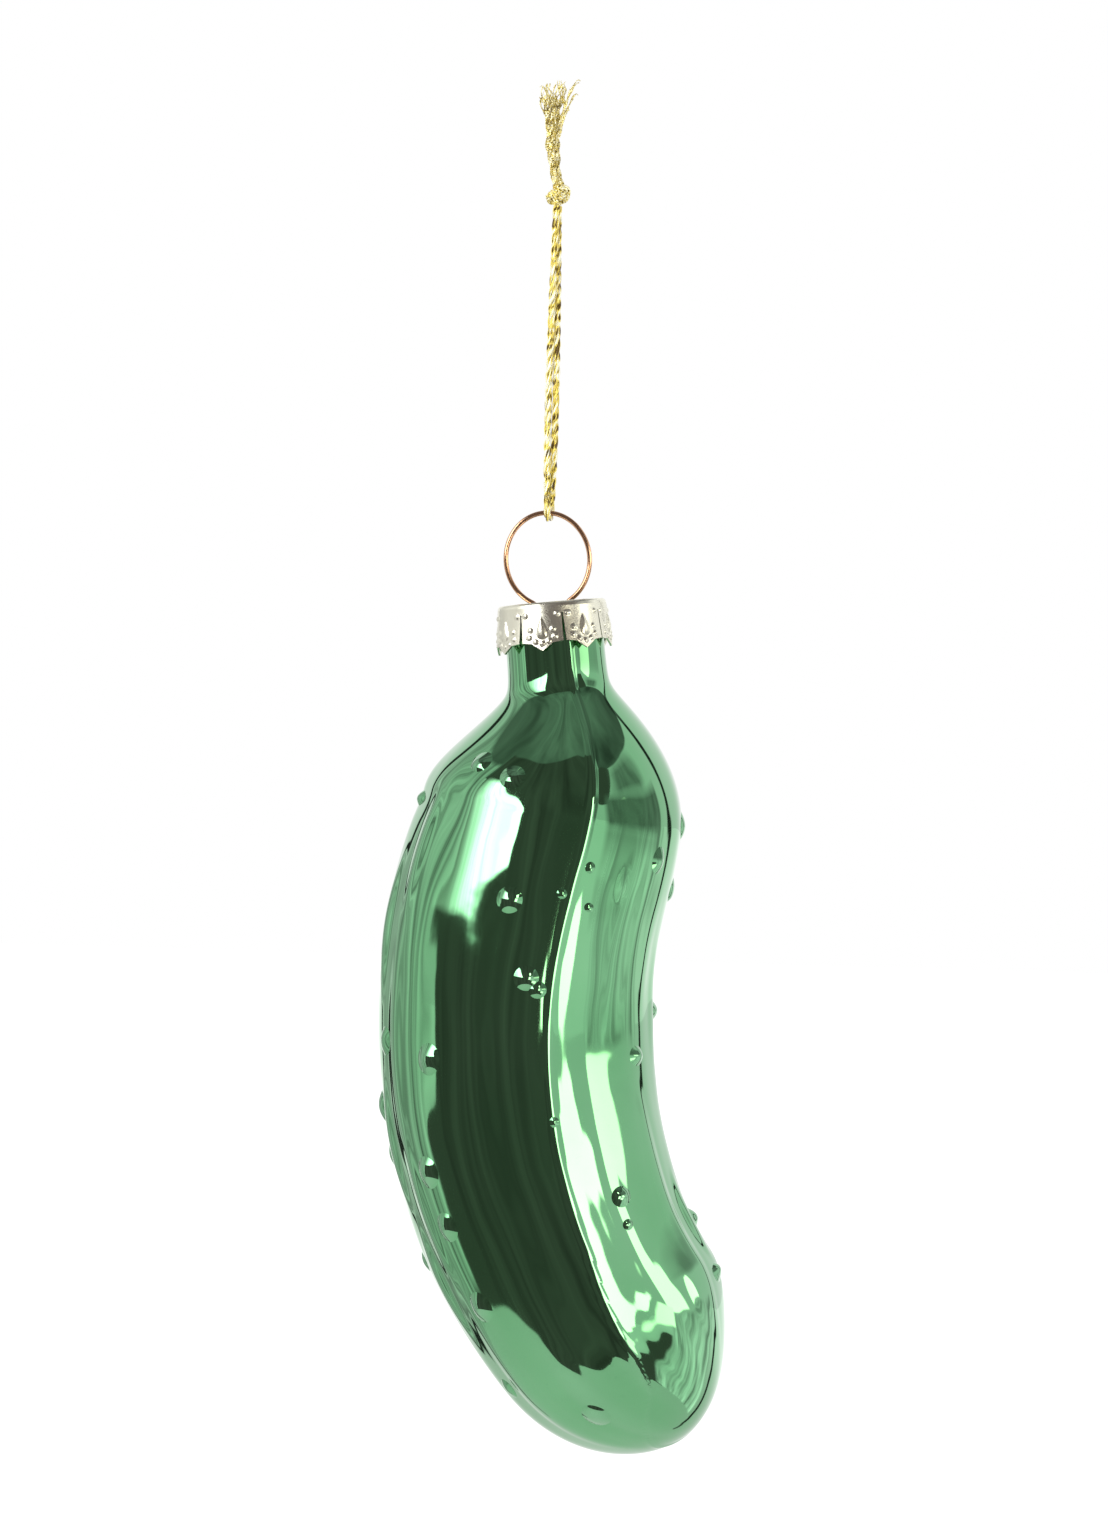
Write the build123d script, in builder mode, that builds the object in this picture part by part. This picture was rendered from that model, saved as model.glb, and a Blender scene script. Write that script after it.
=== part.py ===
from build123d import *
import os
from math import cos, degrees, pi, radians, sin, sqrt, tan

os.makedirs("parts", exist_ok=True)

# Sizes are in millimetres. +Z runs up the hanging cord, the front faces -Y,
# and the origin is the top of the cord's loop, where the ornament is hung up.

# Gold cord
CORD_DIAMETER = 0.85
CORD_SIDES = 6
KNOT_GAP = 0.05
KNOT_HEIGHT = 2.7
KNOT_CORE_RADIUS = 0.95
KNOT_TURN_RADIUS = 0.7
KNOT_TURN_THICKNESS = 1.2
KNOT_TURN_TILT = 22
TAIL_GAP = 0.05

# Hanger: a ring that narrows to a waist in the cap and opens into two spring legs that bear on the neck's bore
LOOP_DROP = 37.4
WIRE_DIAMETER = 0.6
WIRE_SIDES = 6
RING_HALF_WIDTH = 5.1
RING_HALF_HEIGHT = 5.7
RING_LEAVE = 60
WAIST_HALF_WIDTH = 1.25
WAIST_BEND = 1.5
LEG_MEETS_BORE = 12.7
LEG_DEPTH = 21.0
LEG_BORE_CLEARANCE = 0.25
LEG_BEND = 2.5
TOE_IN = 1.3
TOE_LENGTH = 1.8
TOE_BEND = 1.2

# The bend of the glass brings its weight under the ring with the neck at this lean
HANG_TILT = 6.5

# Stamped cap
CAP_DROP = 5.25
CAP_TOP_RADIUS = 6.6
CAP_FLARE = 0.5
CAP_HEIGHT = 5.9
CAP_SHEET = 0.3
CAP_CORNER = 0.45
CAP_NECK_GAP = 0.1
SLOT_CLEARANCE = 0.25
PETALS = 8
FIRST_SLIT = 10
SLIT_WIDTH = 0.5
SLIT_START = 1.6
PETAL_POINT = 0.9
PETAL_SHOULDER = 0.5
DROP_SHAPE = ((0.0, 1.35), (0.6, 0.15), (0.8, -0.5), (0.45, -1.15))
DROP_CROWN = 0.5
DROP_SEAT = 0.2
DROP_RAISE = 0.24
DROP_BELOW_TOP = 3.15

# Glass body
WALL = 1.0
NECK_RADIUS = 5.95
NECK_LENGTH = 10.35
NECK_BLEND = 1.05
SHOULDER_LENGTH = 15.5
SHOULDER_BEND = 52.3
SHOULDER_TURN = 22.5
BODY_BEND = 66.6
BODY_LENGTH = 96.4
BELLY_RADIUS = 16.7
BELLY_AT = 41.0
BELLY_CROWN = 450.0
TIP_BEND = 45.0
TIP_BEND_RUN = 22.4
TIP_LENGTH = 16.7
RIB_COUNT = 13
RIB_HEIGHT = 0.1
RIB_POINTS = 3
HOLLOW_SIDES = 24
SHOULDER_SECTIONS = 6
MIDDLE_SECTIONS = 9
TIP_TURNS = (15, 28, 40, 50, 59, 67, 74, 80, 85)

# Warts: distance below the neck, angle round from the front towards +X, radius of the foot, and rise
WARTS = (
    (9.7, -41, 1.35, 0.62),
    (11.3, -21, 1.4, 0.66),
    (13.8, 88, 1.2, 0.45),
    (17.0, -83, 1.3, 0.55),
    (17.4, 59, 1.2, 0.5),
    (20.0, 90, 1.3, 0.5),
    (26.2, -8, 1.4, 0.66),
    (35.1, 4, 1.35, 0.6),
    (39.1, 90, 1.5, 0.62),
    (42.7, -71, 1.3, 0.5),
    (44.5, -39, 1.5, 0.66),
    (45.9, 61, 1.4, 0.62),
    (49.3, -90, 1.6, 0.75),
    (54.0, -90, 1.3, 0.5),
    (56.1, -49, 1.5, 0.68),
    (62.0, -48, 1.4, 0.6),
    (65.0, -90, 1.1, 0.4),
    (65.3, 34, 1.3, 0.55),
    (70.9, -49, 1.5, 0.64),
    (73.4, 88, 1.5, 0.66),
    (79.3, -71, 1.0, 0.35),
    (83.8, 77, 1.4, 0.6),
    (86.4, -36, 1.4, 0.6),
)
WART_SIDES = 6
WART_SEAT = 0.5
WART_DOME = ((1.0, 0.0), (0.55, 0.62), (0.2, 1.0))
SLOPE_STEP = 0.1
BACK_WARTS = 8
BACK_WART_START = 16.75
BACK_WART_STEP = 9.5
BACK_WART_FOOT = 1.45
BACK_WART_RISE = 0.62
BACK_WART_TURN = 137.5
BACK_WART_SWING = 70

# Frame of the neck: its middle is the ring's centre, straight below the loop
neck_up = Vector(-sin(radians(HANG_TILT)), 0, cos(radians(HANG_TILT)))
neck_side = Vector(cos(radians(HANG_TILT)), 0, sin(radians(HANG_TILT)))
ring_centre = Vector(0, 0, -LOOP_DROP - RING_HALF_HEIGHT)
neck_plane = Plane(origin=ring_centre, x_dir=neck_side, z_dir=neck_up)
hanger_plane = Plane(origin=ring_centre, x_dir=neck_side, z_dir=(0, -1, 0))
cap_plane = neck_plane.offset(-CAP_DROP)
rim_drop = CAP_DROP + CAP_SHEET + CAP_NECK_GAP
rim = ring_centre - neck_up * rim_drop
bore_radius = NECK_RADIUS - WALL


# Spine of the glass: straight down the neck, a turn to one side in the shoulder, then one long bend that
# tightens towards the tip
with BuildLine(Plane.XZ) as spine_line:
    neck_run = Line((rim.X, rim.Z), (rim.X - NECK_LENGTH * neck_up.X, rim.Z - NECK_LENGTH * neck_up.Z))
    shoulder_arc = JernArc(neck_run @ 1, neck_run % 1, SHOULDER_BEND, -SHOULDER_TURN)
    shoulder_run = SHOULDER_BEND * radians(SHOULDER_TURN)
    body_turn = degrees((BODY_LENGTH - shoulder_run - TIP_BEND_RUN) / BODY_BEND)
    body_arc = JernArc(shoulder_arc @ 1, shoulder_arc % 1, BODY_BEND, body_turn)
    JernArc(body_arc @ 1, body_arc % 1, TIP_BEND, degrees(TIP_BEND_RUN / TIP_BEND))
spine = spine_line.wires()[0]


def swell(along):
    """Radius of the body, a gentle crown about its fullest place."""
    return BELLY_RADIUS - (along - BELLY_AT) ** 2 / (2 * BELLY_CROWN)


def glass_radius(along, inset):
    """Radius of the glass at a distance below the neck, or of its hollow when inset by the wall."""
    tip_start = BODY_LENGTH - TIP_LENGTH
    if along < SHOULDER_LENGTH:
        ramp = (sqrt(along**2 + 4 * NECK_BLEND**2) + along) / 2
        share = sin(pi / 2 * min(ramp / SHOULDER_LENGTH, 1))
        return NECK_RADIUS + (swell(SHOULDER_LENGTH) - NECK_RADIUS) * share - inset
    if along < tip_start:
        return swell(along) - inset
    past = (along - tip_start) / (TIP_LENGTH - inset)
    return (swell(along) - inset) * sqrt(max(0, 1 - past**2))


def section_plane(along):
    """Plane square to the spine, its X to the front and its Z up the spine."""
    place = along + NECK_LENGTH
    origin = spine.position_at(place, position_mode=PositionMode.LENGTH)
    heading = spine.tangent_at(place, position_mode=PositionMode.LENGTH)
    return Plane(origin=origin, x_dir=(0, -1, 0), z_dir=heading * -1)


def rib_height(along):
    """Ribs start on the shoulder and run out before the tip."""
    fade_in = min(max(along / SHOULDER_LENGTH, 0), 1)
    fade_out = min(max((BODY_LENGTH - along) / TIP_LENGTH, 0), 1)
    return RIB_HEIGHT * fade_in * fade_out


def stations(inset):
    """Distances below the neck at which the glass is given a section."""
    neck = [-NECK_LENGTH, -3 * NECK_BLEND, -NECK_BLEND, NECK_BLEND]
    shoulder = [SHOULDER_LENGTH * (i + 1) / SHOULDER_SECTIONS for i in range(SHOULDER_SECTIONS)]
    tip_start = BODY_LENGTH - TIP_LENGTH
    middle_step = (tip_start - SHOULDER_LENGTH) / MIDDLE_SECTIONS
    middle = [SHOULDER_LENGTH + middle_step * (i + 1) for i in range(MIDDLE_SECTIONS)]
    tip = [tip_start + (TIP_LENGTH - inset) * sin(radians(turn)) for turn in TIP_TURNS]
    return neck + shoulder + middle + tip


def glass_outline(along):
    """Ribbed outline of the glass in its section plane."""
    count = RIB_COUNT * RIB_POINTS
    middle = glass_radius(along, 0)
    outline = []
    for i in range(count):
        turn = 2 * pi * i / count
        radius = middle + rib_height(along) * cos(RIB_COUNT * turn)
        outline.append((radius * cos(turn), radius * sin(turn)))
    return outline


def on_glass(along, turn):
    """Plane that lies on the glass and faces outwards."""
    section = section_plane(along)
    outwards = section.x_dir * cos(radians(turn)) + section.y_dir * sin(radians(turn))
    slope = (glass_radius(along + SLOPE_STEP, 0) - glass_radius(along - SLOPE_STEP, 0)) / (2 * SLOPE_STEP)
    place = section.origin + outwards * glass_radius(along, 0)
    return Plane(origin=place, x_dir=section.z_dir.cross(outwards), z_dir=outwards + section.z_dir * slope)


def wart(along, turn, foot, rise):
    """Low dome on a round foot that is seated in the glass."""
    skin = on_glass(along, turn)
    rings = [(foot, -WART_SEAT)] + [(foot * share, rise * height) for share, height in WART_DOME]
    sections = []
    for radius, height in rings:
        with BuildSketch(skin.offset(height)) as ring:
            RegularPolygon(radius, WART_SIDES)
        sections.append(ring.sketch)
    loft(sections, ruled=True)


# Glass body: the ribbed shell with its warts, then the hollow
with BuildPart() as hollow:
    above_rim = section_plane(-NECK_LENGTH).offset(CAP_NECK_GAP / 2)
    with BuildSketch(above_rim):
        RegularPolygon(glass_radius(-NECK_LENGTH, WALL), HOLLOW_SIDES)
    for station in stations(WALL):
        with BuildSketch(section_plane(station)):
            RegularPolygon(glass_radius(station, WALL), HOLLOW_SIDES)
    hollow_end = section_plane(BODY_LENGTH - WALL).origin
    loft([*hollow.pending_faces, Vertex(*hollow_end)], ruled=True)

with BuildPart() as glass_body:
    for station in stations(0):
        with BuildSketch(section_plane(station)):
            with BuildLine():
                Polyline(*glass_outline(station), close=True)
            make_face()
    loft([*glass_body.pending_faces, Vertex(*section_plane(BODY_LENGTH).origin)], ruled=True)
    for along, turn, foot, rise in WARTS:
        wart(along, turn, foot, rise)
    for i in range(BACK_WARTS):
        swing = BACK_WART_SWING * sin(radians(BACK_WART_TURN * i))
        wart(BACK_WART_START + BACK_WART_STEP * i, 180 + swing, BACK_WART_FOOT, BACK_WART_RISE)
    add(hollow.part, mode=Mode.SUBTRACT)
glass_body.part.label = "glass_body"
export_step(glass_body.part, "parts/glass_body.step")


# Hanger: right toe, foot, knee and waist, round the ring, and down the left leg
leg_spread = bore_radius - LEG_BORE_CLEARANCE - WIRE_DIAMETER / 2
ring_side = Vector(RING_HALF_WIDTH * cos(radians(RING_LEAVE)), -RING_HALF_HEIGHT * sin(radians(RING_LEAVE)))
leave_slope = RING_HALF_WIDTH / RING_HALF_HEIGHT * tan(radians(RING_LEAVE))
waist_drop = -ring_side.Y + (ring_side.X - WAIST_HALF_WIDTH) / leave_slope


def leg_points(side):
    """Points of one leg from its toe up to the ring, on the side given by the sign."""
    toe = (side * (leg_spread - TOE_IN), -LEG_DEPTH - TOE_LENGTH)
    foot = (side * leg_spread, -LEG_DEPTH)
    knee = (side * leg_spread, -LEG_MEETS_BORE)
    waist = (side * WAIST_HALF_WIDTH, -waist_drop)
    return toe, foot, knee, waist, (side * ring_side.X, ring_side.Y)


with BuildLine(hanger_plane) as wire_path:
    FilletPolyline(*leg_points(1), radius=[TOE_BEND, LEG_BEND, WAIST_BEND])
    EllipticalCenterArc(
        (0, 0), RING_HALF_WIDTH, RING_HALF_HEIGHT, start_angle=-RING_LEAVE, arc_size=180 + 2 * RING_LEAVE
    )
    FilletPolyline(*reversed(leg_points(-1)), radius=[WAIST_BEND, LEG_BEND, TOE_BEND])

with BuildPart() as hanger_wire:
    wire_run = wire_path.wires()[0]
    with BuildSketch(Plane(origin=wire_run @ 0, z_dir=wire_run % 0)):
        RegularPolygon(WIRE_DIAMETER / 2, WIRE_SIDES)
    sweep(path=wire_run)
hanger_wire.part.label = "hanger_wire"
export_step(hanger_wire.part, "parts/hanger_wire.step")


# Cap: a flared stamping with pressed drops, cut into pointed petals and slotted for the wire
cap_axis = Axis(cap_plane.origin, neck_up)
cap_hem_radius = CAP_TOP_RADIUS + CAP_FLARE
petal_angle = 360 / PETALS
petal_half_width = cap_hem_radius * tan(radians(petal_angle / 2))
petal_shoulder = PETAL_SHOULDER * petal_half_width
waist_width_at_cap = ring_side.X - (CAP_DROP + ring_side.Y) * leave_slope
slot_length = 2 * waist_width_at_cap + WIRE_DIAMETER * sqrt(1 + leave_slope**2) + 2 * SLOT_CLEARANCE
slot_width = WIRE_DIAMETER + 2 * SLOT_CLEARANCE


def cap_shape(sheet, corner):
    """Turned shape of the cap, or of the room inside it when a sheet is taken off and no corner is rounded."""
    flat = -sheet
    top = CAP_TOP_RADIUS - sheet
    hem = cap_hem_radius - sheet
    with BuildSketch(Plane(origin=cap_plane.origin, x_dir=neck_side, z_dir=(0, -1, 0))) as half:
        with BuildLine():
            Polyline((0, flat), (top, flat), (hem, -CAP_HEIGHT), (0, -CAP_HEIGHT), close=True)
        make_face()
        if corner:
            fillet(half.vertices().group_by(cap_axis)[-1].sort_by(Axis.X)[-1], corner)
    revolve(half.sketch, axis=cap_axis)


def skirt_plane(angle):
    """Plane on the cap's axis that faces outwards at an angle from the front, with its Y up the axis."""
    outwards = Vector(0, -cos(radians(angle)), 0) + neck_side * sin(radians(angle))
    return Plane(origin=cap_plane.origin, x_dir=neck_up.cross(outwards), z_dir=outwards)


def pressed_drop(angle):
    """Drop with its point upwards, pressed out of the skirt at an angle from the front."""
    skin = CAP_TOP_RADIUS + CAP_FLARE * DROP_BELOW_TOP / CAP_HEIGHT
    outline = DROP_SHAPE + tuple((-x, y) for x, y in reversed(DROP_SHAPE[1:]))
    sections = []
    for out, share in ((skin - DROP_SEAT, 1), (skin + DROP_RAISE, DROP_CROWN)):
        with BuildSketch(skirt_plane(angle).offset(out)) as section:
            with BuildLine():
                Polyline(*((share * x, share * y - DROP_BELOW_TOP) for x, y in outline), close=True)
            make_face()
        sections.append(section.sketch)
    loft(sections, ruled=True)


with BuildPart() as cap_room:
    cap_shape(CAP_SHEET, 0)

with BuildPart() as cap:
    cap_shape(0, CAP_CORNER)
    for i in range(PETALS):
        pressed_drop(FIRST_SLIT + petal_angle * (i + 0.5))
    add(cap_room.part, mode=Mode.SUBTRACT)
    for i in range(PETALS):
        with BuildSketch(skirt_plane(FIRST_SLIT + petal_angle * i)):
            with BuildLine():
                Polyline(
                    (SLIT_WIDTH / 2, -SLIT_START),
                    (SLIT_WIDTH / 2, PETAL_POINT - CAP_HEIGHT),
                    (petal_shoulder, PETAL_POINT - CAP_HEIGHT),
                    (petal_half_width, -CAP_HEIGHT),
                    (petal_half_width, -CAP_HEIGHT - PETAL_POINT),
                    (-petal_half_width, -CAP_HEIGHT - PETAL_POINT),
                    (-petal_half_width, -CAP_HEIGHT),
                    (-petal_shoulder, PETAL_POINT - CAP_HEIGHT),
                    (-SLIT_WIDTH / 2, PETAL_POINT - CAP_HEIGHT),
                    (-SLIT_WIDTH / 2, -SLIT_START),
                    close=True,
                )
            make_face()
        extrude(amount=2 * cap_hem_radius, mode=Mode.SUBTRACT)
    with BuildSketch(cap_plane):
        SlotOverall(slot_length, slot_width)
    extrude(amount=-CAP_CORNER, mode=Mode.SUBTRACT)
cap.part.label = "cap"
export_step(cap.part, "parts/cap.step")


# Cord: down the front strand, round the ring's wire and up the back strand
FRONT_STRAND = (
    (-0.12, -0.48, 0.0),
    (-0.38, -0.28, -13.0),
    (-0.48, 0.02, -27.0),
    (-0.29, -0.56, -33.0),
    (0.00, -0.84, -36.0),
    (0.00, -0.84, -38.2),
)
BACK_STRAND = tuple((-x, -y, z) for x, y, z in reversed(FRONT_STRAND))
ROUTE_SHARE = 0.45


def route_radii(points):
    """Largest arcs that the runs on both sides of each corner leave room for."""
    radii = []
    for before, corner, after in zip(points, points[1:], points[2:]):
        run_in = Vector(*corner) - Vector(*before)
        run_out = Vector(*after) - Vector(*corner)
        turn = radians(run_in.get_angle(run_out))
        radii.append(ROUTE_SHARE * min(run_in.length, run_out.length) / tan(turn / 2))
    return radii


loop_route = FRONT_STRAND + BACK_STRAND
loop_radii = route_radii(loop_route)
with BuildLine() as loop_path:
    FilletPolyline(*loop_route, radius=loop_radii)

with BuildPart() as cord_loop:
    loop_run = loop_path.wires()[0]
    with BuildSketch(Plane(origin=loop_run @ 0, z_dir=loop_run % 0)):
        cord_section = RegularPolygon(CORD_DIAMETER / 2, CORD_SIDES)
    sweep(path=loop_run)
cord_loop.part.label = "cord_loop"
export_step(cord_loop.part, "parts/cord_loop.step")
print("cord radii", [round(radius, 2) for radius in loop_radii], "length", round(loop_run.length, 2))
print("cord volume", round(cord_loop.part.volume, 3), "of", round(cord_section.area * loop_run.length, 3))


# Knot: a slanting turn of the doubled cord drawn tight about a core, flat where the cord enters and leaves
knot_middle = KNOT_GAP + KNOT_HEIGHT / 2
with BuildPart() as cord_knot:
    with BuildSketch(Plane.XY.offset(KNOT_GAP)):
        RegularPolygon(KNOT_CORE_RADIUS, CORD_SIDES)
    extrude(amount=KNOT_HEIGHT)
    knot_slant = Plane((0, 0, knot_middle), z_dir=(0, sin(radians(KNOT_TURN_TILT)), cos(radians(KNOT_TURN_TILT))))
    with BuildSketch(Plane(knot_slant.origin, x_dir=knot_slant.x_dir, z_dir=knot_slant.y_dir)):
        with Locations((KNOT_TURN_RADIUS, 0)):
            RegularPolygon(KNOT_TURN_THICKNESS / 2, CORD_SIDES)
    revolve(axis=Axis(knot_slant.origin, knot_slant.z_dir))
cord_knot.part.label = "cord_knot"
export_step(cord_knot.part, "parts/cord_knot.step")


# Tails: the two cut ends above the knot, which open towards their frayed tops
tail_foot = KNOT_GAP + KNOT_HEIGHT + TAIL_GAP
FRONT_TAIL = (
    (-0.40, -0.48, 0.0, 0.42),
    (-0.95, -0.55, 3.4, 0.48),
    (-1.15, -0.62, 7.4, 0.58),
    (-1.75, -0.80, 12.4, 0.95),
)
BACK_TAIL = (
    (0.15, 0.48, 0.0, 0.42),
    (-0.35, 0.55, 3.4, 0.48),
    (-0.50, 0.62, 7.4, 0.58),
    (0.25, 0.80, 12.8, 0.95),
)


def tail(points):
    """Loft through the sections of one tail."""
    sections = []
    for x, y, height, radius in points:
        with BuildSketch(Plane(origin=(x, y, tail_foot + height))) as section:
            RegularPolygon(radius, CORD_SIDES)
        sections.append(section.sketch)
    loft(sections, ruled=True)


with BuildPart() as cord_tail_front:
    tail(FRONT_TAIL)
cord_tail_front.part.label = "cord_tail_front"
export_step(cord_tail_front.part, "parts/cord_tail_front.step")

with BuildPart() as cord_tail_back:
    tail(BACK_TAIL)
cord_tail_back.part.label = "cord_tail_back"
export_step(cord_tail_back.part, "parts/cord_tail_back.step")
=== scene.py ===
"""Looks of the glass pickle ornament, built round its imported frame.

Sizes are in millimetres until a mesh is written, in the frame's own axes: +Z runs up the cord, the front
faces -Y, and the origin is the top of the cord's loop.
"""

import logging
import math
from dataclasses import dataclass
from enum import Enum
from typing import Callable, Iterable, Sequence

import bpy
import numpy as np
from mathutils import Matrix, Vector


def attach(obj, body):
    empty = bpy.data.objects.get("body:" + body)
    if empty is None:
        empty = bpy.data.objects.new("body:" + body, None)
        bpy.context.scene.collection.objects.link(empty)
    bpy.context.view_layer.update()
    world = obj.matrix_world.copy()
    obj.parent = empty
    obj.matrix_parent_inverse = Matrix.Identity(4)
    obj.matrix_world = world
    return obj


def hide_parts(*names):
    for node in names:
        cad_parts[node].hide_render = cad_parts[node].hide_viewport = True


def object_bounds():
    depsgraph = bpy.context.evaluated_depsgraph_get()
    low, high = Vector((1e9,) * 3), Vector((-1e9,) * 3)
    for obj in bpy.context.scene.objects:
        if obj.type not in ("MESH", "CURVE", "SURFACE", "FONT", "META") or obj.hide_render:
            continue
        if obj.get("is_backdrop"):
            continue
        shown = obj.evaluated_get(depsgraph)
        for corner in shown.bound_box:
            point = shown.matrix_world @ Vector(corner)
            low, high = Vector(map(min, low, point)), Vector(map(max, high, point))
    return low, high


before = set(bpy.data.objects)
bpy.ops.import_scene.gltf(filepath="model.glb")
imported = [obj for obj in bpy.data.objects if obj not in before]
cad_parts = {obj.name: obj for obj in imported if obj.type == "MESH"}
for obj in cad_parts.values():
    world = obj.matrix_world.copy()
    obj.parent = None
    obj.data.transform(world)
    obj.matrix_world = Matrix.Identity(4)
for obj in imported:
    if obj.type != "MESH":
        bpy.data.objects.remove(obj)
CAD_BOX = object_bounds()

MM = 0.001
log = logging.getLogger("pickle_ornament")

Colour = tuple[float, float, float, float]
Points = np.ndarray
Piece = bpy.types.Object
Socket = bpy.types.NodeSocket


class Body(str, Enum):
    """Bodies of the frame that the pieces ride on."""

    CORD = "cord"
    HANGER = "hanger"
    CAP = "cap"
    GLASS = "glass"


class Slot(str, Enum):
    """Material slots of the record."""

    GLASS = "green_silvered_glass"
    CAP = "stamped_cap"
    WIRE = "copper_wire"
    CORD = "gold_cord"


class Seen(Enum):
    """How a card of the studio takes part in the light."""

    IN_GLOSS = "in_gloss"
    AS_LAMP = "as_lamp"


# Mesh tools


def deselect_all() -> None:
    """Leave no object selected, so that operators act on new work alone."""
    bpy.ops.object.select_all(action="DESELECT")


def make_active(piece: Piece) -> None:
    """Select one piece alone, so that operators act on it."""
    deselect_all()
    bpy.context.view_layer.objects.active = piece
    piece.select_set(True)


def add_grid(name: str, columns: int, rows: int) -> tuple[Piece, Points, Points]:
    """Add a flat grid, whose points are then moved on to a surface.

    Args:
        name: Name of the new piece.
        columns: Faces across the grid, which follow its share u.
        rows: Faces up the grid, which follow its share v.

    Returns:
        The new piece, with a UV map of its two shares, and the shares u and v of its points, from 0 to 1.
    """
    deselect_all()
    bpy.ops.mesh.primitive_grid_add(x_subdivisions=columns, y_subdivisions=rows, size=2)
    piece = bpy.context.object
    piece.name = name
    piece.data.name = name
    flat = np.zeros(len(piece.data.vertices) * 3)
    piece.data.vertices.foreach_get("co", flat)
    shares = (flat.reshape(-1, 3) + 1) / 2
    return piece, shares[:, 0], shares[:, 1]


def place_points(piece: Piece, points: Points) -> None:
    """Move a piece's points to places in millimetres."""
    piece.data.vertices.foreach_set("co", (points * MM).ravel())
    piece.data.update()


def set_crest(piece: Piece, values: Points) -> None:
    """Store how far each point stands proud, as a share from 0 to 1."""
    attribute = piece.data.attributes.new("crest", "FLOAT", "POINT")
    attribute.data.foreach_set("value", np.clip(values, 0, 1).astype(np.float32))


def in_edit_mode(piece: Piece, work: Callable[[], object], select_by: str = "VERT") -> None:
    """Do some work on one piece in edit mode.

    Args:
        piece: The piece to edit.
        work: Calls the operators.
        select_by: Kind of part that is selected: VERT, EDGE or FACE.
    """
    make_active(piece)
    bpy.ops.object.mode_set(mode="EDIT")
    bpy.ops.mesh.select_mode(type=select_by)
    work()
    bpy.ops.mesh.select_mode(type="VERT")
    bpy.ops.object.mode_set(mode="OBJECT")


def close_seams(piece: Piece, gap: float, cap_ends: bool) -> None:
    """Merge a wrapped grid's meeting edges, close its open ends if asked, and point its faces outwards.

    Args:
        piece: The wrapped grid.
        gap: Distance in millimetres within which points merge.
        cap_ends: Whether open ends get a face.
    """

    def work() -> None:
        bpy.ops.mesh.select_all(action="SELECT")
        bpy.ops.mesh.remove_doubles(threshold=gap * MM)
        if cap_ends:
            bpy.ops.mesh.select_all(action="SELECT")
            bpy.ops.mesh.fill_holes(sides=0)
        bpy.ops.mesh.select_all(action="SELECT")
        bpy.ops.mesh.normals_make_consistent(inside=False)

    in_edit_mode(piece, work)


def turn_inside_out() -> None:
    """Flip every face of the piece in edit mode."""
    bpy.ops.mesh.select_all(action="SELECT")
    bpy.ops.mesh.flip_normals()


def bridge_rims() -> None:
    """Join the two open rims of the piece in edit mode."""
    bpy.ops.mesh.select_all(action="DESELECT")
    bpy.ops.mesh.select_non_manifold(extend=False, use_wire=False, use_multi_face=False, use_verts=False)
    bpy.ops.mesh.bridge_edge_loops()


def apply_modifier(piece: Piece, kind: str, **settings: object) -> None:
    """Add a modifier to a piece and apply it.

    Args:
        piece: The piece to change.
        kind: Blender's name for the kind of modifier.
        **settings: Values of the modifier.
    """
    make_active(piece)
    modifier = piece.modifiers.new(kind.title(), kind)
    for name, value in settings.items():
        setattr(modifier, name, value)
    bpy.ops.object.modifier_apply(modifier=modifier.name)


def join_pieces(pieces: Sequence[Piece], name: str) -> Piece:
    """Join pieces into one object.

    Args:
        pieces: The pieces, of which the first is kept.
        name: Name of the joined piece.

    Returns:
        The joined piece.
    """
    deselect_all()
    for piece in pieces:
        piece.select_set(True)
    bpy.context.view_layer.objects.active = pieces[0]
    if len(pieces) > 1:
        bpy.ops.object.join()
    joined = bpy.context.view_layer.objects.active
    joined.name = name
    joined.data.name = name
    return joined


def shade_smooth(piece: Piece, angle: float) -> None:
    """Shade a piece smoothly across edges up to an angle in degrees."""
    make_active(piece)
    bpy.ops.object.shade_smooth_by_angle(angle=math.radians(angle))


def smooth_step(low: float, high: float, value: Points) -> Points:
    """Ease from 0 at the low value to 1 at the high one."""
    share = np.clip((value - low) / (high - low), 0, 1)
    return share * share * (3 - 2 * share)


# Lines that cords, yarns and wires follow


def read_spline(points: Sequence[Sequence[float]], resolution: int) -> Points:
    """Read points along a smooth line.

    Args:
        points: Control points of the line, in millimetres.
        resolution: Steps for each control point.

    Returns:
        Points along the quadratic NURBS line, in millimetres.
    """
    curve = bpy.data.curves.new("route", "CURVE")
    curve.dimensions = "3D"
    spline = curve.splines.new("NURBS")
    spline.points.add(len(points) - 1)
    for control, point in zip(spline.points, points):
        control.co = (*point, 1.0)
    spline.order_u = 3
    spline.use_endpoint_u = True
    spline.resolution_u = resolution
    route = bpy.data.objects.new("route", curve)
    bpy.context.scene.collection.objects.link(route)
    mesh = bpy.data.meshes.new_from_object(route)
    line = np.array([vertex.co for vertex in mesh.vertices], float)
    bpy.data.objects.remove(route)
    bpy.data.curves.remove(curve)
    bpy.data.meshes.remove(mesh)
    return line


def run_of(line: Points) -> Points:
    """Distance along a line at each of its points."""
    steps = np.linalg.norm(np.diff(line, axis=0), axis=1)
    return np.concatenate(([0.0], np.cumsum(steps)))


def respace(line: Points, step: float) -> Points:
    """Points at even steps along a line, in the line's own units."""
    run = run_of(line)
    places = np.linspace(0, run[-1], max(3, int(round(run[-1] / step)) + 1))
    return np.stack([np.interp(places, run, line[:, axis]) for axis in range(3)], axis=1)


def smooth_line(points: Sequence[Sequence[float]], resolution: int, step: float) -> Points:
    """Points at even steps along the smooth line of some control points."""
    return respace(read_spline(points, resolution), step)


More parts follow.
